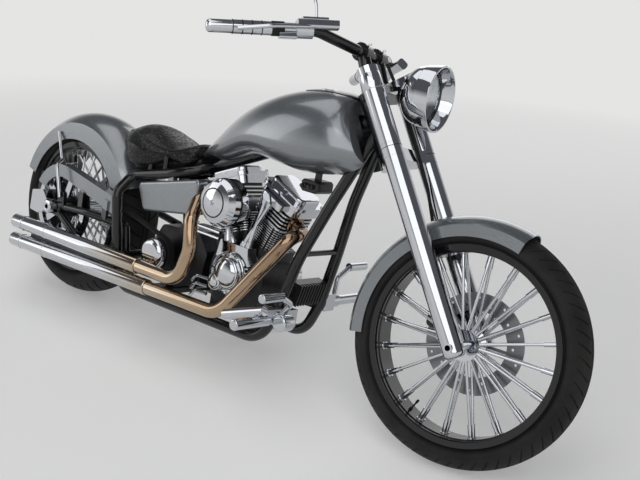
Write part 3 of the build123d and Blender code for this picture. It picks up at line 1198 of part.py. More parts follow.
def upright_pieces():
    """Every piece in the upright, straight-ahead layout, grouped by the body that it moves with."""
    left = frame_left()
    fixed = {
        "frame_head": frame_head(),
        "frame_left": left,
        "frame_right": frame_right(left),
        "swingarm": swingarm(),
        "crankcase": crankcase(),
        "front_cylinder": cylinder(1),
        "rear_cylinder": cylinder(-1),
        "front_rocker_box": rocker_box(1),
        "rear_rocker_box": rocker_box(-1),
        "pushrod_tubes": pushrod_tubes(),
        "cam_cover": cam_cover(),
        "air_cleaner": air_cleaner(),
        "carburettor": carburettor(),
        "gearbox": gearbox(),
        "primary_cover": primary_cover(),
        "output_cover": output_cover(),
        "drive_belt": drive_belt(),
        "belt_guard": belt_guard(),
        "upper_exhaust": upper_exhaust(),
        "lower_exhaust": lower_exhaust(),
        "fuel_tank": fuel_tank(),
        "seat": seat(),
        "oil_tank": oil_tank(),
        "rear_fender": rear_fender(),
        "fender_struts": fender_struts(),
        "rear_axle": rear_axle(),
        "axle_block": axle_block(),
        "rear_caliper": rear_caliper(),
        "right_foot_control": foot_control("right"),
        "left_foot_control": foot_control("left"),
        "regulator": regulator(),
    }
    rear_bed = REAR_BEAD_R - REAR_RIM_DROP
    rear_wheel = {
        "rear_tyre": tyre(REAR_BEAD_R, REAR_TYRE_HEIGHT, REAR_TYRE_W, REAR_CROWN_R, REAR_RIM_HALF, REAR_AXLE),
        "rear_rim": rim(REAR_BEAD_R, REAR_RIM_DROP, REAR_RIM_HALF, REAR_AXLE),
        "rear_spokes": spoked_hub(rear_bed, REAR_HUB_HALF, REAR_SPOKE_PAIRS, REAR_AXLE),
        "rear_pulley": rear_pulley(),
        "rear_disc": brake_disc(REAR_DISC_R, REAR_DISC_BAND, REAR_DISC_Y, REAR_AXLE, REAR_HUB_HALF),
    }
    fork = {
        "lower_yoke": lower_yoke(),
        "upper_yoke": upper_yoke(),
        "fork_leg_right": fork_leg(-1),
        "fork_leg_left": fork_leg(1),
        "handlebar": bar_tube(BAR_R),
        "right_hand_control": hand_control(RIGHT_CONTROL_TURN, True),
        "left_hand_control": mirrored(hand_control(LEFT_CONTROL_TURN, False)),
        "headlight": headlight(),
        "headlight_lens": headlight_lens(),
        "front_brake_hose": front_brake_hose(),
        "front_fender": front_fender(),
        "front_axle": front_axle(),
        "front_caliper": front_caliper(),
    }
    front_bed = FRONT_BEAD_R - FRONT_RIM_DROP
    front_wheel = {
        "front_tyre": tyre(FRONT_BEAD_R, FRONT_TYRE_HEIGHT, FRONT_TYRE_W, FRONT_CROWN_R, FRONT_RIM_HALF, FRONT_AXLE),
        "front_rim": rim(FRONT_BEAD_R, FRONT_RIM_DROP, FRONT_RIM_HALF, FRONT_AXLE),
        "front_spokes": spoked_hub(front_bed, FRONT_HUB_HALF, FRONT_SPOKE_PAIRS, FRONT_AXLE),
        "front_disc": brake_disc(FRONT_DISC_R, FRONT_DISC_BAND, FRONT_DISC_Y, FRONT_AXLE, FRONT_HUB_HALF),
    }
    return {"frame": fixed, "rear_wheel": rear_wheel, "fork": fork, "front_wheel": front_wheel}


def lowest(centre, axle_dir, radius, crown_r):
    """Height of a crowned tyre's lowest point."""
    level = math.sqrt(1 - axle_dir.Z ** 2)
    return centre.Z - (radius - crown_r) * level - crown_r


def settle():
    """Turn the upright layout into the parked pose: lean on the stand, then pitch level."""
    about = Axis((0, 0, 0), AXIS_UP)
    front_dir = Vector(0, 1, 0).rotate(about, STEER_AT_REST)
    front_centre = STEER_FOOT + (Vector(*FRONT_AXLE) - STEER_FOOT).rotate(about, STEER_AT_REST)
    pitch = 0.0
    for _ in range(30):
        turn = Rot(0, pitch, 0) * Rot(-LEAN, 0, 0)
        front = (turn * Pos(*front_centre)).position
        rear = (turn * Pos(*REAR_AXLE)).position
        front_low = lowest(front, (turn * Pos(*front_dir)).position, FRONT_TYRE_R, FRONT_CROWN_R)
        rear_low = lowest(rear, (turn * Pos(0, 1, 0)).position, REAR_TYRE_R, REAR_CROWN_R)
        pitch += math.degrees((front_low - rear_low) / WHEELBASE)
    return Pos(0, 0, -rear_low) * turn


def stand_foot(pose):
    """Where the stand's foot meets the ground, in the upright layout."""
    x, y = STAND_FOOT_AT
    up = (pose * Pos(x, y, 1)).position - (pose * Pos(x, y, 0)).position
    z = -(pose * Pos(x, y, 0)).position.Z / up.Z
    return Vector(x, y, z)


def placed_pieces():
    """Every piece in its parked place, the move that put it there, and the pieces by body before the move."""
    groups = upright_pieces()
    pose = settle()
    foot = stand_foot(pose)
    groups["frame"]["frame_left"] += stand_bracket(foot)
    groups["side_stand"] = {"side_stand": side_stand(foot)}
    steer = Axis(STEER_FOOT, AXIS_UP)
    for body in ("fork", "front_wheel"):
        groups[body] = {name: shape.rotate(steer, STEER_AT_REST) for name, shape in groups[body].items()}
    posed = {name: pose * shape for pieces in groups.values() for name, shape in pieces.items()}
    ground = (pose * Pos(*foot)).position
    posed["side_stand"] += Pos(ground.X, ground.Y, STAND_PAD_T / 2) * Cylinder(STAND_PAD_R, STAND_PAD_T)
    box = Compound(children=[shape.moved(Location()) for shape in posed.values()]).bounding_box()
    shift = Pos(-box.center().X, -box.center().Y, -box.min.Z)
    return {name: shift * shape for name, shape in posed.items()}, shift * pose, groups


def main():
    pieces, _, _ = placed_pieces()
    os.makedirs("parts", exist_ok=True)
    for name, shape in pieces.items():
        export_step(shape, f"parts/{name}.step")


if __name__ == "__main__":
    main()
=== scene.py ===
"""Looks of a long V-twin chopper: finishes, tyre treads, padded saddle, fittings and a plain studio."""

import json
import logging
import math
from dataclasses import dataclass
from enum import Enum
from typing import Iterable, Sequence

import bmesh
import bpy
import numpy as np
from mathutils import Matrix, Vector
from mathutils.bvhtree import BVHTree


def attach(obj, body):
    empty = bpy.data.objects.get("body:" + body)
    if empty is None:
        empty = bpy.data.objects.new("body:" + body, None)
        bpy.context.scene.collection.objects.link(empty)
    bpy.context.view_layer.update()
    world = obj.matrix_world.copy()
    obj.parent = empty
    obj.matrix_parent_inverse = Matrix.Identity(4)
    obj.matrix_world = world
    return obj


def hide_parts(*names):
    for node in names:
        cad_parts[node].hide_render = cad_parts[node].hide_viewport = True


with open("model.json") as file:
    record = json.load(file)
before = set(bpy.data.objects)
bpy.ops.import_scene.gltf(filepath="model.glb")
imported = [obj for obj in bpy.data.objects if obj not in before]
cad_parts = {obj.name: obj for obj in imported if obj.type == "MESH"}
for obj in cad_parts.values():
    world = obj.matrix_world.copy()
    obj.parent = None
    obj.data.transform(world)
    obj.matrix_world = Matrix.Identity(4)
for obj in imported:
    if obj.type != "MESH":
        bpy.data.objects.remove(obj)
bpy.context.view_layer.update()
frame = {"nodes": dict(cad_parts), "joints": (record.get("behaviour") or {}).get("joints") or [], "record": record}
log = logging.getLogger("chopper")
Colour = tuple[float, float, float]
Point = tuple[float, float, float]
Profile = tuple[tuple[float, float], ...]
Shape = tuple[list[Vector], list[tuple[int, ...]]]
HeadRow = tuple[Vector, Vector, float]

# The photograph's viewpoint, in metres, degrees and the photograph's pixels
CAMERA_FROM_REAR_AXLE = Vector((3.06132, -2.20777, 1.15426))
CAMERA_AZIMUTH = 40.723
CAMERA_ELEVATION = 18.606
CAMERA_ROLL = 3.485
CAMERA_FOCAL_PIXELS = 1005.2
IMAGE_WIDTH_PIXELS = 640.0
SENSOR_WIDTH_MM = 36.0

# The machine, in degrees and in metres from the rear axle
RAKE = 34.0
STEER_AT_REST = 12.0
REAR_AXLE_HIGH = 0.327
FRONT_AXLE_FROM_REAR = (1.71496, 0.0, 0.01896)
AXLE_HALVES = {mount["name"]: mount["dims"]["length_mm"] / 2000 for mount in frame["record"]["mounts"]}
CRANK_FROM_AXLE = (0.872, 0.0, -0.029)
V_HALF_ANGLE = 22.5
BARREL_FIN = 0.066
HEAD_FIN = 0.070
HEAD_FROM = 0.236

# Directions in the layout, a corner's way inwards for each metre of chamfer, and when points are doubles
UP = Vector((0.0, 0.0, 1.0))
LEFT = Vector((0.0, 1.0, 0.0))
RIGHT = Vector((0.0, -1.0, 0.0))
CORNER_INSET = 1.4
MERGE_WITHIN = 1e-6

# The upper yoke's middle in the layout, and from it the handlebar's end and bend, in the fork's axes
UP_YOKE = (1.23296, 0.0, 0.62625)
BAR_END = (-0.204, 0.420, 0.229)
BAR_BEND = (-0.007, 0.230, 0.168)
GRIP_RADIUS = 0.0195


class Body(Enum):
    """The moving bodies that pieces ride on."""

    FRAME = "frame"
    FORK = "fork"
    FRONT_WHEEL = "front_wheel"
    REAR_WHEEL = "rear_wheel"


class Layout:
    """The upright, straight-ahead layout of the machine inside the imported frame.

    Its origin is the rear axle, X points to the front wheel, Y to the rider's left and Z up.
    Lengths are in metres.
    """

    def __init__(self, record: dict, joints: Sequence[dict]) -> None:
        """Read the axle and steering directions.

        Args:
            record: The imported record, for its mounts.
            joints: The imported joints, for the steering axis.
        """
        mounts = {mount["name"]: mount for mount in record["mounts"]}
        rear, front = mounts["rear_axle_bore"], mounts["front_axle_bore"]
        steering = next(joint for joint in joints if joint["name"] == "steering")
        left = -Vector(rear["axis"]).normalized()
        axis_up = Vector(steering["axis"]).normalized()
        ahead = left.cross(axis_up).normalized()
        self.rear_axle = Vector(rear["pos_m"])
        self.front_axle = Vector(front["pos_m"])
        rake = math.radians(RAKE)
        forward = ahead * math.cos(rake) - axis_up * math.sin(rake)
        up = ahead * math.sin(rake) + axis_up * math.cos(rake)
        turn = Matrix((forward, left, up)).transposed().to_4x4()
        self.frame = Matrix.Translation(self.rear_axle) @ turn
        pivot = Matrix.Translation(Vector(steering["pos_m"]))
        steered = pivot @ Matrix.Rotation(math.radians(STEER_AT_REST), 4, axis_up) @ pivot.inverted()
        self.fork = steered @ self.frame

    def matrix(self, body: Body) -> Matrix:
        """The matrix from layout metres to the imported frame, for pieces on one body."""
        return self.fork if body in (Body.FORK, Body.FRONT_WHEEL) else self.frame


layout = Layout(frame["record"], frame["joints"])


class Graph:
    """Short ways to add and join the shader nodes of one material."""

    def __init__(self, name: str) -> None:
        """Start an empty node material with one principled shader.

        Args:
            name: The material's name.
        """
        self.material = bpy.data.materials.new(name)
        self.material.use_nodes = True
        self.tree = self.material.node_tree
        self.shader = self.tree.nodes["Principled BSDF"]

    def feed(self, socket: bpy.types.NodeSocket, value: object) -> None:
        """Link a socket, or set its plain value.

        Args:
            socket: The input to feed.
            value: Another node's output, or a plain number, vector or colour.
        """
        if isinstance(value, bpy.types.NodeSocket):
            self.tree.links.new(value, socket)
        else:
            socket.default_value = value

    def add(self, kind: str, inputs: dict | None = None, **settings: object) -> bpy.types.Node:
        """Add a node.

        Args:
            kind: The node's type name without the ShaderNode prefix.
            inputs: Values or sockets by input name or index.
            settings: The node's own properties.

        Returns:
            The new node.
        """
        node = self.tree.nodes.new(f"ShaderNode{kind}")
        for key, value in settings.items():
            setattr(node, key, value)
        for key, value in (inputs or {}).items():
            self.feed(node.inputs[key], value)
        return node

    def place(self) -> bpy.types.NodeSocket:
        """The piece's own coordinates."""
        return self.add("TexCoord").outputs["Object"]

    def offset(self, centre: Sequence[float]) -> bpy.types.NodeSocket:
        """The piece's own coordinates, taken from a centre."""
        return self.add("VectorMath", {0: self.place(), 1: Vector(centre)}, operation="SUBTRACT").outputs[0]

    def along(self, place: bpy.types.NodeSocket, aim: Sequence[float]) -> bpy.types.NodeSocket:
        """How far a place lies along a direction."""
        return self.add("VectorMath", {0: place, 1: Vector(aim)}, operation="DOT_PRODUCT").outputs["Value"]

    def math(self, operation: str, *values: object) -> bpy.types.NodeSocket:
        """One arithmetic step on numbers or sockets."""
        return self.add("Math", dict(enumerate(values)), operation=operation).outputs[0]

    def noise(self, scale: float, detail: float = 3.0, roughness: float = 0.55,
              at: bpy.types.NodeSocket | None = None) -> bpy.types.NodeSocket:
        """A cloudy value around a half, with the scale in clouds for each metre."""
        inputs = {"Vector": at or self.place(), "Scale": scale, "Detail": detail, "Roughness": roughness}
        return self.add("TexNoise", inputs).outputs["Fac"]

    def ramp(self, value: object, stops: Sequence[tuple[float, Colour]]) -> bpy.types.NodeSocket:
        """Colours along a value.

        Args:
            value: The value that picks the colour.
            stops: Places and colours, in rising order.

        Returns:
            The colour socket.
        """
        node = self.add("ValToRGB", {"Fac": value})
        elements = node.color_ramp.elements
        while len(elements) < len(stops):
            elements.new(0.5)
        for element, (place, colour) in zip(elements, stops):
            element.position = place
            element.color = (*colour, 1.0)
        return node.outputs["Color"]

    def span(self, value: object, low: float, high: float, start: float = 0.0,
             end: float = 1.0) -> bpy.types.NodeSocket:
        """Map a value that runs from start to end to one that runs from low to high."""
        inputs = {"Value": value, "From Min": start, "From Max": end, "To Min": low, "To Max": high}
        return self.add("MapRange", inputs).outputs["Result"]

    def mix(self, share: object, first: object, second: object) -> bpy.types.NodeSocket:
        """Mix two colours.

        Args:
            share: How much of the second colour there is.
            first: The colour at a share of 0, as a tuple or socket.
            second: The colour at a share of 1, as a tuple or socket.

        Returns:
            The mixed colour's socket.
        """
        node = self.add("Mix", data_type="RGBA")
        for index, value in zip((0, 6, 7), (share, first, second)):
            self.feed(node.inputs[index], (*value, 1.0) if isinstance(value, tuple) else value)
        return node.outputs[2]

    def bump(self, height: bpy.types.NodeSocket, depth: float, strength: float = 1.0) -> bpy.types.NodeSocket:
        """A normal from a height that rises by a depth in metres."""
        return self.add("Bump", {"Height": height, "Distance": depth, "Strength": strength}).outputs["Normal"]

    def set(self, **values: object) -> None:
        """Feed the shader's inputs.

        Args:
            values: Values or sockets by input name, with underscores for spaces.
        """
        for key, value in values.items():
            if isinstance(value, tuple) and len(value) == 3:
                value = (*value, 1.0)
            self.feed(self.shader.inputs[key.replace("_", " ")], value)


@dataclass(frozen=True)
class Chrome:
    """Bright plating with faint polishing haze."""

    name: str = "chrome_plate"
    tone: Colour = (0.60, 0.615, 0.645)
    haze: Colour = (0.50, 0.51, 0.53)
    low_roughness: float = 0.035
    high_roughness: float = 0.11

    def build(self) -> bpy.types.Material:
        """Make the material."""
        g = Graph(self.name)
        haze = g.span(g.noise(9.0, 4.0), 0.0, 0.35, 0.35, 0.75)
        smear = g.span(g.noise(70.0, 5.0, 0.7), self.low_roughness, self.high_roughness, 0.3, 0.8)
        g.set(Base_Color=g.mix(haze, self.tone, self.haze), Metallic=1.0, Roughness=smear,
              Normal=g.bump(g.noise(220.0, 2.0), 0.00002, 0.35))
        return g.material


@dataclass(frozen=True)
class HeatedPipe:
    """Plated pipe, bronzed by heat along its header and bright towards the outlet.

    The tones go by their share of the reach from the port.
    """

    name: str
    port: Point
    reach: float
    tones: tuple[tuple[float, Colour], ...] = (
        (0.0, (0.24, 0.165, 0.12)), (0.14, (0.33, 0.225, 0.15)), (0.32, (0.43, 0.315, 0.21)),
        (0.47, (0.50, 0.40, 0.295)), (0.58, (0.55, 0.50, 0.44)), (0.72, (0.60, 0.61, 0.635)))
    wander: float = 0.05

    def build(self) -> bpy.types.Material:
        """Make the material."""
        g = Graph(self.name)
        inputs = {0: g.place(), 1: Vector(self.port)}
        away = g.add("VectorMath", inputs, operation="DISTANCE").outputs["Value"]
        drift = g.span(g.noise(14.0, 4.0), -self.wander, self.wander)
        share = g.math("ADD", g.math("DIVIDE", away, self.reach), drift)
        g.set(Base_Color=g.ramp(share, self.tones), Metallic=1.0,
              Roughness=g.span(g.noise(60.0, 5.0, 0.7), 0.04, 0.15, 0.3, 0.8),
              Normal=g.bump(g.noise(180.0, 2.0), 0.00003, 0.3))
        return g.material


@dataclass(frozen=True)
class MetallicPaint:
    """Clear-coated paint with fine metal flake."""

    name: str = "silver_paint"
    base: Colour = (0.185, 0.200, 0.215)
    light: Colour = (0.31, 0.33, 0.35)
    flake_scale: float = 2600.0
    metallic: float = 0.72
    coat_roughness: float = 0.035

    def build(self) -> bpy.types.Material:
        """Make the material."""
        g = Graph(self.name)
        flakes = g.add("TexVoronoi", {"Vector": g.place(), "Scale": self.flake_scale}).outputs["Color"]
        fleck = g.math("POWER", g.add("SeparateColor", {"Color": flakes}).outputs[0], 2.5)
        tone = g.mix(g.math("MULTIPLY", fleck, 0.75), self.base, self.light)
        tone = g.mix(g.span(g.noise(3.0, 3.0), 0.0, 0.25), tone, self.light)
        peel = g.bump(g.noise(160.0, 2.0), 0.00004, 0.25)
        g.set(Base_Color=tone, Metallic=self.metallic, Roughness=g.span(fleck, 0.24, 0.36), Coat_Weight=1.0,
              Coat_Roughness=self.coat_roughness, Normal=peel)
        return g.material


@dataclass(frozen=True)
class GlossBlack:
    """Deep black enamel with a slight orange peel."""

    name: str = "black_enamel"
    tone: Colour = (0.004, 0.004, 0.005)
    roughness: float = 0.14
    coat: float = 0.35
    dust: Colour = (0.014, 0.0135, 0.013)

    def build(self) -> bpy.types.Material:
        """Make the material."""
        g = Graph(self.name)
        dusting = g.span(g.noise(5.0, 5.0, 0.65), 0.0, 0.3, 0.5, 0.9)
        g.set(Base_Color=g.mix(dusting, self.tone, self.dust), Specular_IOR_Level=0.35,
              Roughness=g.span(g.noise(40.0, 4.0), self.roughness, self.roughness + 0.10),
              Coat_Weight=self.coat, Coat_Roughness=0.05, Normal=g.bump(g.noise(260.0, 2.0), 0.00005, 0.25))
        return g.material


@dataclass(frozen=True)
class Rubber:
    """Dull black rubber with dust in it."""

    name: str = "black_rubber"
    tone: Colour = (0.010, 0.010, 0.010)
    dust: Colour = (0.055, 0.051, 0.045)
    dusting: float = 0.30
    grain: float = 900.0

    def build(self) -> bpy.types.Material:
        """Make the material."""
        g = Graph(self.name)
        dusting = g.span(g.noise(6.0, 6.0, 0.65), 0.0, self.dusting, 0.42, 0.8)
        g.set(Base_Color=g.mix(dusting, self.tone, self.dust), Specular_IOR_Level=0.25,
              Roughness=g.span(g.noise(30.0, 4.0), 0.55, 0.8),
              Normal=g.bump(g.noise(self.grain, 3.0), 0.00012, 0.5))
        return g.material


@dataclass(frozen=True)
class CastAlloy:
    """Cast aluminium with a fine grain and dull stains."""

    name: str = "cast_alloy"
    tone: Colour = (0.30, 0.305, 0.315)
    roughness: float = 0.30
    stain: Colour = (0.13, 0.125, 0.12)

    def build(self) -> bpy.types.Material:
        """Make the material."""
        g = Graph(self.name)
        staining = g.span(g.noise(11.0, 6.0, 0.7), 0.0, 0.5, 0.45, 0.85)
        g.set(Base_Color=g.mix(staining, self.tone, self.stain), Metallic=0.9,
              Roughness=g.span(g.noise(50.0, 4.0), self.roughness, self.roughness + 0.16),
              Normal=g.bump(g.noise(700.0, 3.0), 0.00015, 0.5))
        return g.material


@dataclass(frozen=True)
class FinnedBarrel:
    """Black cylinder with bright cut fin edges, told apart by their place across the cylinder's axis."""

    name: str
    centre: Point
    across: Point
    side: Point
    along: Point
    black: Colour = (0.014, 0.014, 0.015)
    bright: Colour = (0.62, 0.63, 0.65)
    edge_width: float = 0.0013
    barrel_corner: float = 0.0768
    head_corner: float = 0.0899
    head_margin: float = 0.001

    def build(self) -> bpy.types.Material:
        """Make the material."""
        g = Graph(self.name)
        offset = g.offset(self.centre)
        u, v, high = (g.along(offset, aim) for aim in (self.across, self.side, self.along))
        head = g.math("GREATER_THAN", high, HEAD_FROM - self.head_margin)
        flat = g.math("MAXIMUM", g.math("ABSOLUTE", u), g.math("ABSOLUTE", v))
        away = g.math("SQRT", g.math("ADD", g.math("MULTIPLY", u, u), g.math("MULTIPLY", v, v)))
        flat_edge = g.span(head, BARREL_FIN - self.edge_width, HEAD_FIN - self.edge_width)
        corner_edge = g.span(head, self.barrel_corner - self.edge_width, self.head_corner - self.edge_width)
        on_flat = g.math("GREATER_THAN", flat, flat_edge)
        edge = g.math("MAXIMUM", on_flat, g.math("GREATER_THAN", away, corner_edge))
        g.set(Base_Color=g.mix(edge, self.black, self.bright), Metallic=edge,
              Roughness=g.math("ADD", g.math("MULTIPLY", edge, -0.20), 0.46),
              Normal=g.bump(g.noise(500.0, 3.0), 0.0002, 0.5))
        return g.material


@dataclass(frozen=True)
class Thread:
    """Waxed sewing thread."""

    name: str = "sewing_thread"
    tone: Colour = (0.045, 0.043, 0.041)
    worn: Colour = (0.075, 0.072, 0.068)

    def build(self) -> bpy.types.Material:
        """Make the material."""
        g = Graph(self.name)
        g.set(Base_Color=g.mix(g.noise(900.0, 2.0), self.tone, self.worn), Roughness=0.6,
              Normal=g.bump(g.noise(2500.0, 2.0), 0.0001, 0.5))
        return g.material


@dataclass(frozen=True)
class FrostedBulb:
    """Milky bulb glass with a faint warm tint."""

    name: str = "bulb_glass"
    warm: Colour = (0.78, 0.76, 0.70)
    cool: Colour = (0.70, 0.71, 0.72)

    def build(self) -> bpy.types.Material:
        """Make the material."""
        g = Graph(self.name)
        g.set(Base_Color=g.mix(g.noise(120.0, 3.0), self.warm, self.cool), Coat_Weight=1.0,
              Roughness=g.span(g.noise(60.0, 3.0), 0.10, 0.22),
              Normal=g.bump(g.noise(500.0, 2.0), 0.00003, 0.3))
        return g.material


@dataclass(frozen=True)
class Leather:
    """Black hide, rubbed in places and embossed with uneven scales that are longer across the machine."""

    name: str = "scaled_leather"
    tone: Colour = (0.002, 0.002, 0.002)
    worn: Colour = (0.011, 0.010, 0.010)
    scale: float = 78.0
    stretch: Point = (1.0, 0.62, 1.0)
    warp: float = 0.006
    groove: float = 0.16
    relief: float = 0.016

    def build(self) -> bpy.types.Material:
        """Make the material."""
        g = Graph(self.name)
        place = g.place()
        stretched = g.add("Mapping", {"Vector": place, "Scale": self.stretch}).outputs[0]
        drift = g.add("TexNoise", {"Vector": place, "Scale": 26.0}).outputs["Color"]
        inputs = {0: drift, 1: (self.warp, self.warp, self.warp), 2: stretched}
        warped = g.add("VectorMath", inputs, operation="MULTIPLY_ADD").outputs[0]
        edges = g.add("TexVoronoi", {"Vector": warped, "Scale": self.scale}, feature="DISTANCE_TO_EDGE")
        rise = g.span(edges.outputs["Distance"], 0.0, self.groove, 0.0, self.groove)
        height = g.math("ADD", rise, g.math("MULTIPLY", g.noise(420.0, 4.0), 0.02))
        rub = g.span(g.noise(8.0, 4.0), 0.0, 0.5, 0.5, 0.9)
        wear = g.math("MULTIPLY", g.math("MULTIPLY", rise, 6.0), rub)
        g.set(Base_Color=g.mix(wear, self.tone, self.worn), Specular_IOR_Level=0.35, Coat_Weight=0.22,
              Coat_Roughness=0.18, Roughness=g.span(rise, 0.70, 0.30, 0.0, self.groove),
              Normal=g.bump(height, self.relief))
        return g.material


@dataclass(frozen=True)
class GuardPaint:
    """The belt guard's silver paint, black on the brackets that hang from its lower edge."""

    name: str = "guard_paint"
    paint: MetallicPaint = MetallicPaint()
    bracket: Colour = (0.004, 0.004, 0.005)
    edge_aim: Point = (0.2166, 0.0, 0.9762)
    edge_at: float = 0.1135
    bracket_from: float = 0.095
    bracket_to: float = 0.290

    def build(self) -> bpy.types.Material:
        """Make the material."""
        g = Graph(self.name)
        turn = layout.frame.to_3x3()
        offset = g.offset(layout.rear_axle)
        along, above = (g.along(offset, turn @ Vector(aim)) for aim in ((1.0, 0.0, 0.0), self.edge_aim))
        beyond = g.math("GREATER_THAN", along, self.bracket_from)
        between = g.math("MULTIPLY", beyond, g.math("LESS_THAN", along, self.bracket_to))
        hangs = g.math("MULTIPLY", g.math("LESS_THAN", above, self.edge_at), between)
        silver = g.mix(g.noise(4.0, 3.0), self.paint.base, self.paint.light)
        g.set(Base_Color=g.mix(hangs, silver, self.bracket), Metallic=g.span(hangs, self.paint.metallic, 0.0),
              Roughness=0.28, Coat_Weight=1.0, Coat_Roughness=self.paint.coat_roughness,
              Normal=g.bump(g.noise(160.0, 2.0), 0.00004, 0.25))
        return g.material


@dataclass(frozen=True)
class Glass:
    """Clear lens glass."""

    name: str = "lamp_glass"
    tint: Colour = (0.95, 0.97, 0.98)
    refraction: float = 1.45

    def build(self) -> bpy.types.Material:
        """Make the material."""
        g = Graph(self.name)
        g.set(Base_Color=self.tint, Transmission_Weight=1.0, IOR=self.refraction,
              Roughness=g.span(g.noise(12.0, 3.0), 0.0, 0.03),
              Normal=g.bump(g.noise(90.0, 2.0), 0.00002, 0.2))
        return g.material


@dataclass(frozen=True)
class TurnedSteel:
    """Brake steel with turning marks at equal distances from the axle's middle."""

    name: str
    centre: Point
    tone: Colour = (0.20, 0.20, 0.21)
    bright: Colour = (0.38, 0.38, 0.39)
    marks: float = 2400.0

    def build(self) -> bpy.types.Material:
        """Make the material."""
        g = Graph(self.name)
        away = g.add("VectorMath", {0: g.offset(self.centre)}, operation="LENGTH").outputs["Value"]
        at = g.add("CombineXYZ", {"X": g.math("MULTIPLY", away, self.marks)}).outputs[0]
        rings = g.noise(1.0, 2.0, at=at)
        g.set(Base_Color=g.mix(g.span(rings, 0.0, 0.4), self.tone, self.bright), Metallic=1.0,
              Roughness=g.span(rings, 0.24, 0.42), Normal=g.bump(rings, 0.00006, 0.5))
        return g.material


class Palette:
    """Every shared finish, built once."""

    def __init__(self) -> None:
        """Build all materials."""
        self.chrome = Chrome().build()
        self.paint = MetallicPaint().build()
        self.enamel = GlossBlack().build()
        self.satin = GlossBlack("black_satin", (0.014, 0.014, 0.015), 0.38, 0.3).build()
        self.rubber = Rubber().build()
        self.tyre = Rubber("tyre_rubber", (0.011, 0.011, 0.012), (0.060, 0.056, 0.048), 0.40, 700.0).build()
        self.alloy = CastAlloy().build()
        self.dark_case = CastAlloy("dark_case", (0.040, 0.040, 0.043)).build()
        self.guard = GuardPaint().build()
        self.leather = Leather().build()
        self.glass = Glass().build()
        self.thread = Thread().build()
        self.bulb = FrostedBulb().build()
        self.front_disc = TurnedSteel("front_disc_steel", tuple(layout.front_axle)).build()
        self.rear_disc = TurnedSteel("rear_disc_steel", tuple(layout.rear_axle)).build()


palette = Palette()


def dress(names: Iterable[str], material: bpy.types.Material) -> None:
    """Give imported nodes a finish.

    Args:
        names: The nodes' names.
        material: The finish for all their slots.
    """
    for name in names:
        piece = frame["nodes"][name]
        if not piece.material_slots:
            piece.data.materials.append(material)
        for slot in piece.material_slots:
            slot.material = material


def cylinder_place(side: int, across: float, left: float, along: float) -> Vector:
    """A point in the layout, given in one cylinder's own axes.

    Args:
        side: 1 for the front cylinder, -1 for the rear one.
        across: Metres from the cylinder's axis, along the machine.
        left: Metres to the rider's left.
        along: Metres from the crank along the cylinder.

    Returns:
        The point, in metres from the rear axle.
    """
    return Vector(CRANK_FROM_AXLE) + cylinder_aim(side, across, left, along)


def cylinder_aim(side: int, across: float, left: float, along: float) -> Vector:
    """A direction in the layout, given in one cylinder's own axes.

    Args:
        side: 1 for the front cylinder, -1 for the rear one.
        across: Its share away from the cylinder's axis, along the machine.
        left: Its share to the rider's left.
        along: Its share along the cylinder.

    Returns:
        The direction.
    """
    lean = math.radians(V_HALF_ANGLE) * side
    return Vector((math.cos(lean) * across + math.sin(lean) * along, left,
                   -math.sin(lean) * across + math.cos(lean) * along))


@dataclass(frozen=True)
class Bodywork:
    """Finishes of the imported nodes."""

    painted: tuple[str, ...] = ("fuel_tank", "oil_tank", "rear_fender", "front_fender")
    enamelled: tuple[str, ...] = (
        "frame_head", "frame_left", "frame_right", "swingarm", "handlebar", "front_rim", "rear_rim",
        "front_caliper", "upper_yoke")
    plated: tuple[str, ...] = (
        "front_rocker_box", "rear_rocker_box", "pushrod_tubes", "cam_cover", "air_cleaner", "primary_cover",
        "output_cover", "fender_struts", "rear_axle", "front_axle", "rear_caliper", "right_foot_control",
        "left_foot_control", "right_hand_control", "left_hand_control", "headlight", "fork_leg_right",
        "fork_leg_left", "front_spokes", "rear_spokes", "side_stand", "lower_yoke", "axle_block",
        "rear_pulley")

    def build(self) -> None:
        """Dress the nodes."""
        for names, finish in (
                (self.painted, palette.paint), (self.enamelled, palette.enamel),
                (self.plated, palette.chrome), (("regulator",), palette.satin),
                (("drive_belt", "front_brake_hose"), palette.rubber),
                (("front_tyre", "rear_tyre"), palette.tyre), (("carburettor",), palette.alloy),
                (("crankcase", "gearbox"), palette.dark_case), (("belt_guard",), palette.guard),
                (("front_disc",), palette.front_disc), (("rear_disc",), palette.rear_disc),
                (("headlight_lens",), palette.glass), (("seat",), palette.leather)):
            dress(names, finish)
        self.dress_cylinders()

    def dress_cylinders(self) -> None:
        """Give the cylinders their bright fin edges."""
        crank = layout.frame @ Vector(CRANK_FROM_AXLE)
        turn = layout.frame.to_3x3()
        for side, name in ((1, "front_cylinder"), (-1, "rear_cylinder")):
            axes = (tuple(turn @ cylinder_aim(side, *aim)) for aim in ((1, 0, 0), (0, 1, 0), (0, 0, 1)))
            dress((name,), FinnedBarrel(f"{name}_finish", tuple(crank), *axes).build())


def fork_place(ahead: float, across: float, above: float) -> Vector:
    """A point in the layout, given from the middle of the upper yoke in the fork's axes.

    Args:
        ahead: Metres to the front, square to the steering axis.
        across: Metres to the rider's left.
        above: Metres up along the steering axis.

    Returns:
        The point, in metres from the rear axle.
    """
    rake = math.radians(RAKE)
    return Vector(UP_YOKE) + Vector((math.cos(rake) * ahead - math.sin(rake) * above, across,
                                     math.sin(rake) * ahead + math.cos(rake) * above))


def grip_line(side: int) -> tuple[Vector, Vector]:
    """One end of the handlebar.

    Args:
        side: 1 for the left end, -1 for the right one.

    Returns:
        The end's middle, and the direction in which the grip runs from it.
    """
    end, bend = (fork_place(ahead, side * across, above) for ahead, across, above in (BAR_END, BAR_BEND))
    return end, (bend - end).normalized()


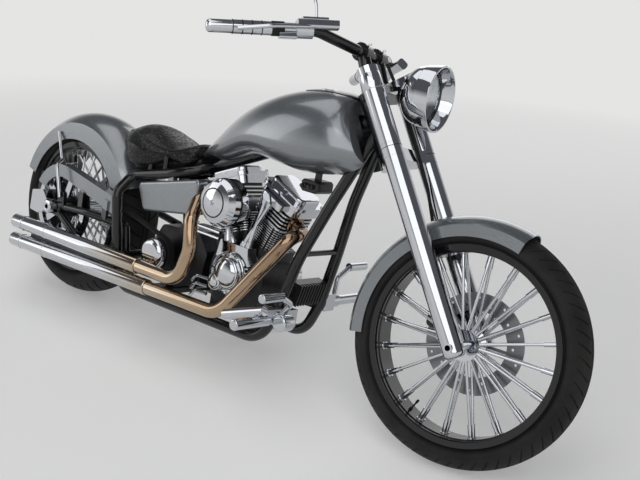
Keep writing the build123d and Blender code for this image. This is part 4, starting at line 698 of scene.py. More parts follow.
def spoke_aim(angle: float, radius: float = 1.0) -> Vector:
    """A vector out from an axle, at an angle that rises from straight ahead."""
    return Vector((math.cos(angle) * radius, 0.0, math.sin(angle) * radius))


def add_piece(name: str, body: Body, shape: Shape, material: bpy.types.Material,
              crease: float = 35.0) -> bpy.types.Object:
    """Make a closed mesh piece from layout coordinates and let it ride.

    Args:
        name: The piece's name.
        body: The body that it rides on.
        shape: Points in layout metres, and faces.
        material: The finish.
        crease: Edges sharper than this many degrees stay hard.

    Returns:
        The new object.
    """
    points, faces = shape
    mesh = bpy.data.meshes.new(name)
    mesh.from_pydata([tuple(v) for v in points], [], faces)
    mesh.transform(layout.matrix(body))
    return finish_piece(name, body, mesh, material, crease)


def tidy_mesh(mesh: bpy.types.Mesh, distance: float) -> None:
    """Merge a mesh's doubles and turn its faces outwards.

    Args:
        mesh: The mesh.
        distance: Points closer than this many metres are merged.
    """
    work = bmesh.new()
    work.from_mesh(mesh)
    bmesh.ops.remove_doubles(work, verts=work.verts, dist=distance)
    bmesh.ops.recalc_face_normals(work, faces=work.faces)
    work.to_mesh(mesh)
    work.free()


def finish_piece(name: str, body: Body, mesh: bpy.types.Mesh, material: bpy.types.Material,
                 crease: float) -> bpy.types.Object:
    """Merge, smooth and dress a mesh that is already in place, and let it ride.

    Args:
        name: The piece's name.
        body: The body that it rides on.
        mesh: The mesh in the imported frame.
        material: The finish.
        crease: Edges sharper than this many degrees stay hard.

    Returns:
        The new object.
    """
    tidy_mesh(mesh, MERGE_WITHIN)
    mesh.materials.clear()
    mesh.materials.append(material)
    mesh.shade_smooth()
    mesh.set_sharp_from_angle(angle=math.radians(crease))
    piece = bpy.data.objects.new(name, mesh)
    bpy.context.scene.collection.objects.link(piece)
    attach(piece, body.value)
    log.info("%s: %d faces", name, len(mesh.polygons))
    return piece


def wrapped(rows: int, steps: int, closed: bool) -> list[tuple[int, ...]]:
    """Faces over rows of points that each go round.

    Args:
        rows: How many rows there are.
        steps: Points in a row.
        closed: Whether the last row joins the first; otherwise both ends get a lid.

    Returns:
        Corner indices of each face.
    """
    faces = []
    for row in range(rows if closed else rows - 1):
        near, far = row * steps, (row + 1) % rows * steps
        for index in range(steps):
            turn = (index + 1) % steps
            faces.append((near + index, near + turn, far + turn, far + index))
    if not closed:
        faces += [tuple(range(steps)), tuple(reversed(range((rows - 1) * steps, rows * steps)))]
    return faces


def turned(profile: Sequence[tuple[float, float]], centre: Vector, axis: Vector, steps: int = 48,
           closed: bool = False) -> Shape:
    """Turn an outline about an axis.

    Args:
        profile: Places along the axis and radii.
        centre: Where the axis starts.
        axis: The axis's direction.
        steps: Points round the axis.
        closed: Whether the outline closes on itself, as a ring's does.

    Returns:
        Points and faces.
    """
    along = axis.normalized()
    first = along.orthogonal().normalized()
    second = along.cross(first)
    points = []
    for place, radius in profile:
        for index in range(steps):
            angle = 2 * math.pi * index / steps
            out = first * math.cos(angle) + second * math.sin(angle)
            points.append(centre + along * place + out * radius)
    return points, wrapped(len(profile), steps, closed)


def swept(path: Sequence[Vector], radius: float, steps: int = 10, loop: bool = False) -> Shape:
    """A round bar along a path.

    Args:
        path: Points of its middle line.
        radius: The bar's radius in metres.
        steps: Points round the bar.
        loop: Whether the path closes on itself; otherwise both ends get a lid.

    Returns:
        Points and faces.
    """
    points = []
    count = len(path)
    side = UP
    for index, place in enumerate(path):
        before = path[index - 1] if index or loop else place
        after = path[(index + 1) % count] if index < count - 1 or loop else place
        run = (after - before).normalized()
        side = (side - run * side.dot(run)).normalized()
        other = run.cross(side)
        for step in range(steps):
            angle = 2 * math.pi * step / steps
            points.append(place + (side * math.cos(angle) + other * math.sin(angle)) * radius)
    return points, wrapped(count, steps, loop)


def lofted(sections: Sequence[Sequence[Vector]]) -> Shape:
    """A closed shape through sections that have the same number of corners."""
    points = [point for section in sections for point in section]
    return points, wrapped(len(sections), len(sections[0]), False)


def plate(outline: Sequence[tuple[float, float]], low: float, high: float, chamfer: float = 0.0015) -> Shape:
    """An outline in X and Z made thick across the machine, with chamfered edges.

    Args:
        outline: Corners as X and Z.
        low: The lower end in Y.
        high: The higher end in Y.
        chamfer: The width of the chamfers.

    Returns:
        Points and faces.
    """
    corners = [Vector((x, 0.0, z)) for x, z in outline]
    middle = sum(corners, Vector()) / len(corners)
    full = [corner - middle for corner in corners]
    small = [corner - corner.normalized() * chamfer * CORNER_INSET for corner in full]
    levels = ((low, small), (low + chamfer, full), (high - chamfer, full), (high, small))
    return lofted([[middle + corner + LEFT * across for corner in section] for across, section in levels])


def bent(corners: Sequence[tuple[Vector, float]], step: float = 0.004) -> list[Vector]:
    """The middle line of a tube that goes round each corner in an arc.

    Args:
        corners: Corner points, each with its bend radius, which is 0 at both ends.
        step: Distance between points on an arc, in metres.

    Returns:
        Points along the line.
    """
    line = [corners[0][0]]
    for index in range(1, len(corners) - 1):
        corner, radius = corners[index]
        back = (corners[index - 1][0] - corner).normalized()
        ahead = (corners[index + 1][0] - corner).normalized()
        half = math.acos(max(-1.0, min(1.0, back.dot(ahead)))) / 2
        reach = radius / math.tan(half)
        centre = corner + (back + ahead).normalized() * (radius / math.sin(half))
        first, last = corner + back * reach - centre, corner + ahead * reach - centre
        turn = first.angle(last)
        axis = first.cross(last).normalized()
        count = max(int(radius * turn / step), 6)
        for number in range(count + 1):
            line.append(centre + Matrix.Rotation(turn * number / count, 3, axis) @ first)
    line.append(corners[-1][0])
    return line


def rounded(corners: Sequence[Vector], steps: int) -> list[Vector]:
    """A smooth loop through corners, as a Catmull-Rom spline.

    Args:
        corners: The points that it goes through.
        steps: Points for each stretch between two corners.

    Returns:
        Points along the loop.
    """
    loop = []
    for index, corner in enumerate(corners):
        before, after = corners[index - 1], corners[(index + 1) % len(corners)]
        beyond = corners[(index + 2) % len(corners)]
        square = 2 * before - 5 * corner + 4 * after - beyond
        cube = 3 * corner - before - 3 * after + beyond
        for step in range(steps):
            t = step / steps
            loop.append(0.5 * (2 * corner + (after - before) * t + square * t * t + cube * t ** 3))
    return loop


def joined(shapes: Iterable[Shape]) -> Shape:
    """Several shapes as one.

    Args:
        shapes: Points and faces of each shape.

    Returns:
        Points and faces of all of them.
    """
    points, faces = [], []
    for more_points, more_faces in shapes:
        start = len(points)
        points.extend(more_points)
        faces.extend(tuple(index + start for index in face) for face in more_faces)
    return points, faces


def surface(mesh: bpy.types.Mesh) -> BVHTree:
    """A search tree of a mesh's faces."""
    return BVHTree.FromPolygons([v.co for v in mesh.vertices], [tuple(p.vertices) for p in mesh.polygons])


class Fastener(Enum):
    """The heads that scattered fasteners have: sides, height over radius, and share of the top's radius."""

    HEX = (6, 0.75, 0.93)
    SOCKET = (20, 1.1, 0.90)
    DOME = (18, 0.9, 0.45)


class Scatter:
    """A geometry-nodes tree that sets one fastener on every point of a mesh, aimed by an attribute.

    A washer lies under each head: its sides, radius and height over the head's radius, and share of the
    top's radius.
    """

    washer: tuple[int, float, float, float] = (24, 1.28, 0.16, 1.0)

    def __init__(self, head: Fastener) -> None:
        """Build the tree for one kind of head.

        Args:
            head: The kind of head.
        """
        self.tree = bpy.data.node_groups.new(f"set_{head.name.lower()}_heads", "GeometryNodeTree")
        new_socket = self.tree.interface.new_socket
        new_socket("Points", in_out="INPUT", socket_type="NodeSocketGeometry")
        self.radius = new_socket("Head Radius", in_out="INPUT", socket_type="NodeSocketFloat")
        self.finish = new_socket("Finish", in_out="INPUT", socket_type="NodeSocketMaterial")
        new_socket("Heads", in_out="OUTPUT", socket_type="NodeSocketGeometry")
        self.build(head)

    def build(self, head: Fastener) -> None:
        """Add and join the nodes.

        Args:
            head: The kind of head.
        """
        sides, tall, top = head.value
        new, link = self.tree.nodes.new, self.tree.links.new
        start, end = new("NodeGroupInput"), new("NodeGroupOutput")
        parts = new("GeometryNodeJoinGeometry")
        for corners, wide, height, share in (self.washer, (sides, 1.0, tall, top)):
            cone = new("GeometryNodeMeshCone")
            cone.inputs["Vertices"].default_value = corners
            for socket, factor in (("Radius Bottom", wide), ("Radius Top", wide * share), ("Depth", height)):
                size = new("ShaderNodeMath")
                size.operation = "MULTIPLY"
                size.inputs[1].default_value = factor
                link(start.outputs["Head Radius"], size.inputs[0])
                link(size.outputs[0], cone.inputs[socket])
            link(cone.outputs["Mesh"], parts.inputs[0])
        aim, grow = new("GeometryNodeInputNamedAttribute"), new("GeometryNodeInputNamedAttribute")
        aim.data_type = "FLOAT_VECTOR"
        aim.inputs["Name"].default_value = "aim"
        grow.inputs["Name"].default_value = "grow"
        turn = new("FunctionNodeAlignRotationToVector")
        turn.axis = "Z"
        link(aim.outputs["Attribute"], turn.inputs["Vector"])
        place = new("GeometryNodeInstanceOnPoints")
        link(start.outputs["Points"], place.inputs["Points"])
        link(parts.outputs[0], place.inputs["Instance"])
        link(turn.outputs["Rotation"], place.inputs["Rotation"])
        link(grow.outputs["Attribute"], place.inputs["Scale"])
        real, finish = new("GeometryNodeRealizeInstances"), new("GeometryNodeSetMaterial")
        link(place.outputs["Instances"], real.inputs[0])
        link(real.outputs[0], finish.inputs["Geometry"])
        link(start.outputs["Finish"], finish.inputs["Material"])
        link(finish.outputs[0], end.inputs[0])

    def set(self, name: str, body: Body, radius: float, rows: Sequence[HeadRow]) -> bpy.types.Object:
        """Set chromed heads at the given places.

        Args:
            name: The piece's name.
            body: The body that it rides on.
            radius: The head's radius in metres.
            rows: Place, outward direction and relative size of each head, in the layout.

        Returns:
            The heads as one plain mesh piece.
        """
        places, aims, sizes = zip(*rows)
        mesh = bpy.data.meshes.new(f"{name}_points")
        mesh.from_pydata([tuple(place) for place in places], [], [])
        for key, kind, field, values in (
                ("aim", "FLOAT_VECTOR", "vector", aims), ("grow", "FLOAT", "value", sizes)):
            attribute = mesh.attributes.new(key, kind, "POINT")
            attribute.data.foreach_set(field, np.array(values, np.float32).ravel())
        holder = bpy.data.objects.new(f"{name}_points", mesh)
        bpy.context.scene.collection.objects.link(holder)
        modifier = holder.modifiers.new("heads", "NODES")
        modifier.node_group = self.tree
        modifier[self.radius.identifier] = radius
        modifier[self.finish.identifier] = palette.chrome
        graph = bpy.context.evaluated_depsgraph_get()
        made = bpy.data.meshes.new_from_object(holder.evaluated_get(graph))
        bpy.data.objects.remove(holder)
        made.transform(layout.matrix(body))
        return finish_piece(name, body, made, palette.chrome, 30.0)


heads = {head: Scatter(head) for head in Fastener}


@dataclass(frozen=True)
class TreadedTyre:
    """A tyre with curved grooves from its crown to its shoulders, and a raised ring on each sidewall.

    Shares go from the grooved ring beside the crown to the shoulder, and from there to the rim's lip. The
    tread repeats by the pitch, and its pitch shares say where the section's columns stand. A cut column's
    points lie deeper on the cut rows, and all columns' on the ring rows.
    """

    name: str
    body: Body
    centre: Point
    bead: float
    height: float
    width: float
    crown: float
    rim_half: float
    pitches: int
    depth: float
    sweep: float
    groove: float
    rib: float
    rim_lip: float = 0.015
    edge: float = 0.0012
    ring_margin: float = 0.004
    shoulder_share: float = 0.93
    sweep_power: float = 1.5
    side_offset: float = 0.5
    tread_shares: tuple[float, ...] = (0.0, 0.02, 0.16, 0.3, 0.44, 0.58, 0.72, 0.84, 0.86)
    last_tread_share: float = 0.95
    wall_shares: tuple[float, ...] = (
        0.03, 0.10, 0.18, 0.26, 0.36, 0.46, 0.56, 0.66, 0.72, 0.74, 0.80, 0.82, 0.90, 1.0)
    wall_ring: tuple[float, float] = (0.73, 0.81)
    pitch_shares: tuple[float, ...] = (0.0, 0.03, 0.13, 0.16, 0.42, 0.70)
    cut_columns: tuple[int, ...] = (1, 2)
    cut_rows: range = range(6, 14)
    ring_rows: range = range(2, 4)

    @property
    def shoulder(self) -> float:
        """Half of the tread's width."""
        return self.width / 2 * self.shoulder_share

    def outline(self) -> list[tuple[float, float]]:
        """Half of the section, from the crown's middle to the bead.

        Returns:
            Places across the tyre and radii.
        """
        half, radius, shoulder = self.width / 2, self.bead + self.height, self.shoulder
        ring_end = self.rib + self.groove + self.edge
        marks = [0.0, self.rib, self.rib + self.edge, self.rib + self.groove, ring_end]
        start = ring_end + self.ring_margin
        marks += [start + (shoulder - start) * share for share in self.tread_shares]
        marks += [shoulder * self.last_tread_share, shoulder]
        rows = [(mark, radius - self.crown + math.sqrt(self.crown ** 2 - mark ** 2)) for mark in marks]
        high, low = rows[-1][1], self.bead + self.rim_lip
        for share in self.wall_shares:
            straight = shoulder + (self.rim_half - shoulder) * share
            bulge = (half - (shoulder + self.rim_half) / 2) * math.sin(math.pi * share)
            ring = self.edge if self.wall_ring[0] < share < self.wall_ring[1] else 0.0
            rows.append((straight + bulge + ring, high + (low - high) * share))
        rows.append((self.rim_half, self.bead))
        return rows

    def build(self) -> None:
        """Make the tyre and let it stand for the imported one."""
        half = list(enumerate(self.outline()))
        rows = [(-across, away, index) for index, (across, away) in reversed(half)][:-1]
        rows += [(across, away, index) for index, (across, away) in half]
        points = []
        for pitch in range(self.pitches):
            for column, fraction in enumerate(self.pitch_shares):
                for across, away, index in rows:
                    cut = index in self.ring_rows or (column in self.cut_columns and index in self.cut_rows)
                    reach = min(abs(across) / self.shoulder, 1.0)
                    offset = self.side_offset if across > 0 else 0.0
                    shift = self.sweep * reach ** self.sweep_power + offset * min(abs(across) / self.rib, 1.0)
                    angle = 2 * math.pi * (pitch + fraction + shift) / self.pitches
                    out = spoke_aim(angle, away - (self.depth if cut else 0.0))
                    points.append(Vector(self.centre) + out + LEFT * across)
        faces = wrapped(self.pitches * len(self.pitch_shares), len(rows), True)
        piece = add_piece(self.name, self.body, (points, faces), palette.tyre, 28.0)
        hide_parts(self.name.replace("_tread", "_tyre"))


@dataclass(frozen=True)
class Wheels:
    """Tyres, rim nuts, valve stems and brake bolts, each pair given for the front and the rear."""

    front: TreadedTyre = TreadedTyre(
        "front_tread", Body.FRONT_WHEEL, FRONT_AXLE_FROM_REAR, bead=0.267, height=0.079, width=0.118,
        crown=0.062, rim_half=0.045, pitches=58, depth=0.0042, sweep=1.15, groove=0.0045, rib=0.004)
    rear: TreadedTyre = TreadedTyre(
        "rear_tread", Body.REAR_WHEEL, (0.0, 0.0, 0.0), bead=0.229, height=0.098, width=0.184, crown=0.118,
        rim_half=0.072, pitches=46, depth=0.0055, sweep=1.0, groove=0.006, rib=0.006)
    bed_drops: tuple[float, float] = (0.010, 0.014)
    spoke_pairs: int = 20
    nut_radius: float = 0.0084
    nut_across: float = 0.009
    nut_sunk: float = 0.0006
    valve_angle: float = -117.0
    valve_out: float = 0.001
    valve: Profile = ((0.0, 0.0050), (0.006, 0.0050), (0.008, 0.0028), (0.026, 0.0026), (0.027, 0.0040),
                      (0.037, 0.0038), (0.038, 0.0026))
    disc_faces: tuple[float, float] = (0.0511, 0.1205)
    disc_bolts: int = 5
    disc_bolt_circle: float = 0.027
    disc_bolt_radius: float = 0.0045

    def build(self) -> None:
        """Build both wheels' fittings."""
        tyres = (self.front, self.rear)
        for tyre, drop in zip(tyres, self.bed_drops):
            tyre.build()
            self.build_nuts(tyre, tyre.bead - drop)
            self.build_valve(tyre, tyre.bead - drop)
        for tyre, face in zip(tyres, self.disc_faces):
            self.build_disc_bolts(tyre, face)

    def build_nuts(self, tyre: TreadedTyre, bed: float) -> None:
        """Set bright nuts where the spokes meet the rim's bed.

        Args:
            tyre: The wheel's tyre.
            bed: The radius of the rim's bed.
        """
        rows = []
        for index in range(self.spoke_pairs):
            out = spoke_aim(-2 * math.pi * index / self.spoke_pairs)
            for side in (-1, 1):
                place = Vector(tyre.centre) + out * (bed - self.nut_sunk) + LEFT * (side * self.nut_across)
                rows.append((place, -out, 1.0))
        heads[Fastener.DOME].set(tyre.name.replace("tread", "spoke_nuts"), tyre.body, self.nut_radius, rows)

    def build_valve(self, tyre: TreadedTyre, bed: float) -> None:
        """Stand a capped valve stem on the rim's bed.

        Args:
            tyre: The wheel's tyre.
            bed: The radius of the rim's bed.
        """
        out = spoke_aim(math.radians(self.valve_angle))
        stem = turned(self.valve, Vector(tyre.centre) + out * (bed + self.valve_out), -out, 16)
        add_piece(tyre.name.replace("tread", "valve"), tyre.body, stem, palette.rubber)

    def build_disc_bolts(self, tyre: TreadedTyre, face: float) -> None:
        """Set the bolts that hold a brake disc to its hub.

        Args:
            tyre: The wheel's tyre.
            face: How far left of the wheel's middle the bolts sit.
        """
        rows = []
        for index in range(self.disc_bolts):
            out = spoke_aim(2 * math.pi * (index + 0.5) / self.disc_bolts, self.disc_bolt_circle)
            rows.append((Vector(tyre.centre) + out + LEFT * face, LEFT, 1.0))
        name = tyre.name.replace("tread", "disc_bolts")
        heads[Fastener.SOCKET].set(name, tyre.body, self.disc_bolt_radius, rows)


@dataclass(frozen=True)
class Fasteners:
    """Screws and bolts of the engine, frame and handlebar.

    The lid's screws are given across the cylinder and to one side, at their height along the cylinder.
    """

    screw: float = 0.0052
    lid_screws: Profile = ((-0.079, 0.056), (0.0, 0.064), (0.079, 0.056))
    lid_at: float = 0.339
    lid_clear: float = 0.012
    cam_at: Point = (0.885, -0.1247, -0.005)
    cam_circle: float = 0.0625
    cam_screws: int = 7
    cam_from: float = 20.0
    cam_pitch: float = 51.4
    primary_from: Point = (0.560, 0.148, -0.029)
    primary_long: float = 0.312
    primary_half: float = 0.0885
    primary_screws: int = 9
    frame_bolt: Point = (0.385, 0.1831, -0.08)
    frame_bolt_size: float = 2.3
    riser: Point = (0.034, 0.048, 0.121)
    riser_half: float = 0.018
    riser_top: float = 0.0255

    def build(self) -> None:
        """Set every fastener, one mesh for each kind and place."""
        engine = [*self.lid_rows(), *self.cam_rows(), *self.primary_rows()]
        heads[Fastener.SOCKET].set("engine_screws", Body.FRAME, self.screw, engine)
        x, y, z = self.frame_bolt
        bolts = [(Vector((x, side * y, z)), LEFT * side, self.frame_bolt_size) for side in (1, -1)]
        heads[Fastener.HEX].set("frame_bolts", Body.FRAME, self.screw, bolts)
        ahead, across, above = self.riser
        risers = [(fork_place(ahead, side * across, above) + Vector((shift, 0.0, self.riser_top)), UP, 0.9)
                  for side in (-1, 1) for shift in (-self.riser_half, self.riser_half)]
        heads[Fastener.SOCKET].set("riser_screws", Body.FORK, self.screw, risers)

    def lid_rows(self) -> list[HeadRow]:
        """Screws round the lid of each rocker box, apart from those between the cylinders.

        Returns:
            Place, direction and size of each.
        """
        rows = []
        for side in (-1, 1):
            for across, out in self.lid_screws:
                for sign in (1, -1):
                    place = cylinder_place(side, across, sign * out, self.lid_at)
                    if (place.x - CRANK_FROM_AXLE[0]) * side > self.lid_clear:
                        rows.append((place, cylinder_aim(side, 0.0, 0.0, 1.0), 1.0))
        return rows

    def cam_rows(self) -> list[HeadRow]:
        """Screws in the cam cover's rim."""
        angles = (math.radians(self.cam_from + index * self.cam_pitch) for index in range(self.cam_screws))
        return [(Vector(self.cam_at) + spoke_aim(angle, self.cam_circle), RIGHT, 0.9) for angle in angles]

    def primary_rows(self) -> list[HeadRow]:
        """Screws in two lines along the primary cover."""
        start, pitch = Vector(self.primary_from), self.primary_long / (self.primary_screws - 1)
        return [(start + Vector((pitch * index, 0.0, sign * self.primary_half)), LEFT, 0.8)
                for index in range(self.primary_screws) for sign in (-1, 1)]


@dataclass(frozen=True)
class Saddle:
    """The solo saddle as a padded leather cushion with a welt and stitching.

    The welt's corners on one side are given as X, half width and height over the ground. The nose's and
    the tail's corners lie on the middle.
    """

    voxel: float = 0.005
    pressure: float = 4.0
    frames: int = 20
    cap: float = 0.007
    welt: float = 0.0032
    welt_corners: tuple[Point, ...] = ((0.238, 0.050, 0.660), (0.278, 0.088, 0.680), (0.352, 0.120, 0.682),
                                       (0.450, 0.106, 0.650), (0.540, 0.080, 0.655), (0.585, 0.052, 0.672))
    nose: Point = (0.604, 0.0, 0.677)
    tail: Point = (0.226, 0.0, 0.665)
    stretch_steps: int = 14
    stitch_pitch: float = 0.0075
    stitch_offset: float = 0.010
    stitch_half: float = 0.0022
    thread: float = 0.0006

    def build(self) -> None:
        """Pad the saddle and sew it."""
        cushion = self.pad()
        self.sew(cushion)

    def pad(self) -> bpy.types.Object:
        """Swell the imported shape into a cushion.

        Returns:
            The cushion.
        """
        cushion = bpy.data.objects.new("saddle", frame["nodes"]["seat"].data.copy())
        bpy.context.scene.collection.objects.link(cushion)
        tidy_mesh(cushion.data, 1e-5)
        self.apply(cushion, "REMESH", mode="VOXEL", voxel_size=self.voxel)
        self.apply(cushion, "SMOOTH", factor=0.5, iterations=6)
        self.swell(cushion)
        self.apply(cushion, "SMOOTH", factor=0.5, iterations=3)
        cushion.data.materials.clear()
        cushion.data.materials.append(palette.leather)
        cushion.data.shade_smooth()
        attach(cushion, Body.FRAME.value)
        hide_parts("seat")
        log.info("saddle: %d faces", len(cushion.data.polygons))
        return cushion

    def swell(self, cushion: bpy.types.Object) -> None:
        """Blow the cushion up a little as cloth, and keep each point within the cap.

        Args:
            cushion: The smoothed cushion.
        """
        scene = bpy.context.scene
        rest = self.points(cushion.data)
        cloth = cushion.modifiers.new("padding", "CLOTH")
        cloth.settings.use_pressure = True
        cloth.settings.uniform_pressure_force = self.pressure
        cloth.settings.effector_weights.gravity = 0.0
        for number in range(1, self.frames + 1):
            scene.frame_set(number)
        graph = bpy.context.evaluated_depsgraph_get()
        swollen = self.points(cushion.evaluated_get(graph).to_mesh())
        cushion.modifiers.clear()
        scene.frame_set(1)
        move = swollen - rest
        length = np.maximum(np.linalg.norm(move, axis=1, keepdims=True), 1e-9)
        moved = rest + move / length * np.minimum(length, self.cap)
        cushion.data.vertices.foreach_set("co", moved.astype(np.float32).ravel())
        cushion.data.update()

    def apply(self, piece: bpy.types.Object, kind: str, **settings: object) -> None:
        """Run one modifier and keep its result.

        Args:
            piece: The object.
            kind: The modifier's type.
            settings: The modifier's own properties.
        """
        modifier = piece.modifiers.new(kind.lower(), kind)
        for key, value in settings.items():
            setattr(modifier, key, value)
        graph = bpy.context.evaluated_depsgraph_get()
        made = bpy.data.meshes.new_from_object(piece.evaluated_get(graph))
        piece.modifiers.clear()
        piece.data = made

    def points(self, mesh: bpy.types.Mesh) -> np.ndarray:
        """A mesh's points.

        Args:
            mesh: The mesh.

        Returns:
            One row for each point.
        """
        flat = np.zeros(len(mesh.vertices) * 3)
        mesh.vertices.foreach_get("co", flat)
        return flat.reshape(-1, 3)

    def on_hide(self, hide: BVHTree, point: Vector) -> tuple[Vector, Vector]:
        """The nearest place on the cushion.

        Args:
            hide: The cushion's faces.
            point: A point in the layout.

        Returns:
            The place and the outward direction there, in the layout.
        """
        place = layout.matrix(Body.FRAME)
        back = place.inverted()
        found, normal, _, _ = hide.find_nearest(place @ point)
        return back @ found, back.to_3x3() @ normal

    def sew(self, cushion: bpy.types.Object) -> None:
        """Lay a welt round the dished top and stitches beside it.

        Args:
            cushion: The padded cushion.
        """
        hide = surface(cushion.data)
        right = [(x, -half, z) for x, half, z in self.welt_corners]
        corners = [Vector((x, y, z - REAR_AXLE_HIGH))
                   for x, y, z in (*right, self.nose, *reversed(self.welt_corners), self.tail)]
        line = [self.on_hide(hide, point) for point in rounded(corners, self.stretch_steps)]
        welt = swept([place for place, _ in line], self.welt, 8, True)
        add_piece("saddle_welt", Body.FRAME, welt, palette.leather, 60.0)
        stitches = joined(stitch for offset in (-self.stitch_offset, self.stitch_offset)
                          for stitch in self.stitches(hide, line, offset))
        add_piece("saddle_stitches", Body.FRAME, stitches, palette.thread, 60.0)

    def stitches(self, hide: BVHTree, line: Sequence[tuple[Vector, Vector]], offset: float) -> list[Shape]:
        """A row of stitches beside the welt.

        Args:
            hide: The cushion's faces.
            line: Places and outward directions along the welt.
            offset: Metres from the welt's middle, to its left where positive.

        Returns:
            Each stitch's points and faces.
        """
        row = []
        walked = 0.0
        for index, (point, outward) in enumerate(line):
            run = line[(index + 1) % len(line)][0] - point
            side = run.cross(outward).normalized()
            while walked < run.length:
                middle, out = self.on_hide(hide, point + run * (walked / run.length) + side * offset)
                half = run.normalized() * self.stitch_half
                row.append(swept([middle - half, middle + out * self.thread, middle + half], self.thread, 5))
                walked += self.stitch_pitch
            walked -= run.length
        return row


@dataclass(frozen=True)
class TankTrim:
    """The black dash strip on the tank's crest with its chrome cap."""

    strip_from: float = 0.985
    strip_to: float = 1.196
    strip_half: float = 0.036
    strip_high: float = 0.0035
    strip_deep: float = 0.003
    columns: int = 9
    rows: int = 34
    cap_at: float = 1.070
    cap: Profile = ((-0.002, 0.0275), (0.0030, 0.0275), (0.0042, 0.0255), (0.0050, 0.0200), (0.0054, 0.0075),
                    (0.0055, 0.0005))
    over_tank: float = 0.8
    beside_tank: float = 0.6

    def build(self) -> None:
        """Lay the trim on the tank."""
        tank = surface(frame["nodes"]["fuel_tank"].data)
        add_piece("tank_strip", Body.FRAME, self.strip(tank), palette.enamel, 50.0)
        found, normal = self.drop(tank, self.cap_at, 0.0)
        add_piece("tank_cap", Body.FRAME, turned(self.cap, found, normal), palette.chrome, 30.0)

    def drop(self, tank: BVHTree, x: float, y: float) -> tuple[Vector, Vector]:
        """Where a plumb line in the layout meets the tank.

        Args:
            tank: The tank's faces.
            x: Metres ahead of the rear axle.
            y: Metres to the rider's left.

        Returns:
            The place and the tank's outward direction there, in the layout.
        """
        place = layout.matrix(Body.FRAME)
        found, normal, _, _ = tank.ray_cast(place @ Vector((x, y, self.over_tank)), place.to_3x3() @ -UP)
        if found is None:
            found, normal, _, _ = tank.find_nearest(place @ Vector((x, y, self.beside_tank)))
        back = place.inverted()
        return back @ found, back.to_3x3() @ normal

    def strip(self, tank: BVHTree) -> Shape:
        """A crowned strip over the crest, narrower at both ends.

        Args:
            tank: The tank's faces.

        Returns:
            Points and faces.
        """
        along, over = self.rows, self.columns
        points, faces = [], []
        for lift in (self.strip_high, -self.strip_deep):
            for row in range(along + 1):
                share = row / along
                x = self.strip_from + (self.strip_to - self.strip_from) * share
                taper = math.sqrt(max(1.0 - abs(2 * share - 1) ** 6, 0.02))
                for column in range(over + 1):
                    aside = 2 * column / over - 1
                    found, normal = self.drop(tank, x, aside * self.strip_half * taper)
                    crown = 1.0 - 0.45 * abs(aside) ** 3 if lift > 0 else 1.0
                    points.append(found + normal * lift * crown)
        layer = (along + 1) * (over + 1)
        for row in range(along):
            for column in range(over):
                a = row * (over + 1) + column
                quad = (a, a + 1, a + over + 2, a + over + 1)
                faces += [quad, tuple(reversed([index + layer for index in quad]))]
        rim = [row * (over + 1) for row in range(along + 1)]
        rim += [along * (over + 1) + column for column in range(1, over + 1)]
        rim += [row * (over + 1) + over for row in reversed(range(along))]
        rim += list(reversed(range(1, over)))
        faces += [(a, b, b + layer, a + layer) for a, b in zip(rim, rim[1:] + rim[:1])]
        return points, faces


@dataclass(frozen=True)
class BarTrim:
    """Rubber rings on both grips. Their profile's radii are over the grip's."""

    cap_to: float = 0.042
    sleeve_to: float = 0.150
    rings: int = 4
    ring_gap: float = 0.0003
    ring: Profile = ((0.0, -0.0012), (0.0, 0.0002), (0.0007, 0.0010), (0.0018, 0.0010), (0.0024, 0.0002),
                     (0.0024, -0.0012))

    def build(self) -> None:
        """Add the rings."""
        ring = [(place, GRIP_RADIUS + rise) for place, rise in self.ring]
        pitch = (self.sleeve_to - self.cap_to) / self.rings
        starts = [self.cap_to + pitch * index + self.ring_gap for index in range(self.rings)]
        rings = [turned(ring, end + inward * start, inward, 40, True)
                 for end, inward in map(grip_line, (-1, 1)) for start in starts]
        add_piece("grip_rings", Body.FORK, joined(rings), palette.rubber)


@dataclass(frozen=True)
class GripSleeves:
    """Rubber sleeves at the inner ends of both grips. Their profile's radii are over the grip's."""

    start: float = 0.152
    sleeve: Profile = ((0.0, -0.0010), (0.0, 0.0006), (0.0010, 0.0012), (0.035, 0.0012), (0.035, -0.0010))

    def build(self) -> None:
        """Add the sleeves."""
        sleeve = [(place, GRIP_RADIUS + rise) for place, rise in self.sleeve]
        sleeves = [turned(sleeve, end + inward * self.start, inward, 40, True)
                   for end, inward in map(grip_line, (-1, 1))]
        add_piece("grip_rubbers", Body.FORK, joined(sleeves), palette.rubber, 30.0)


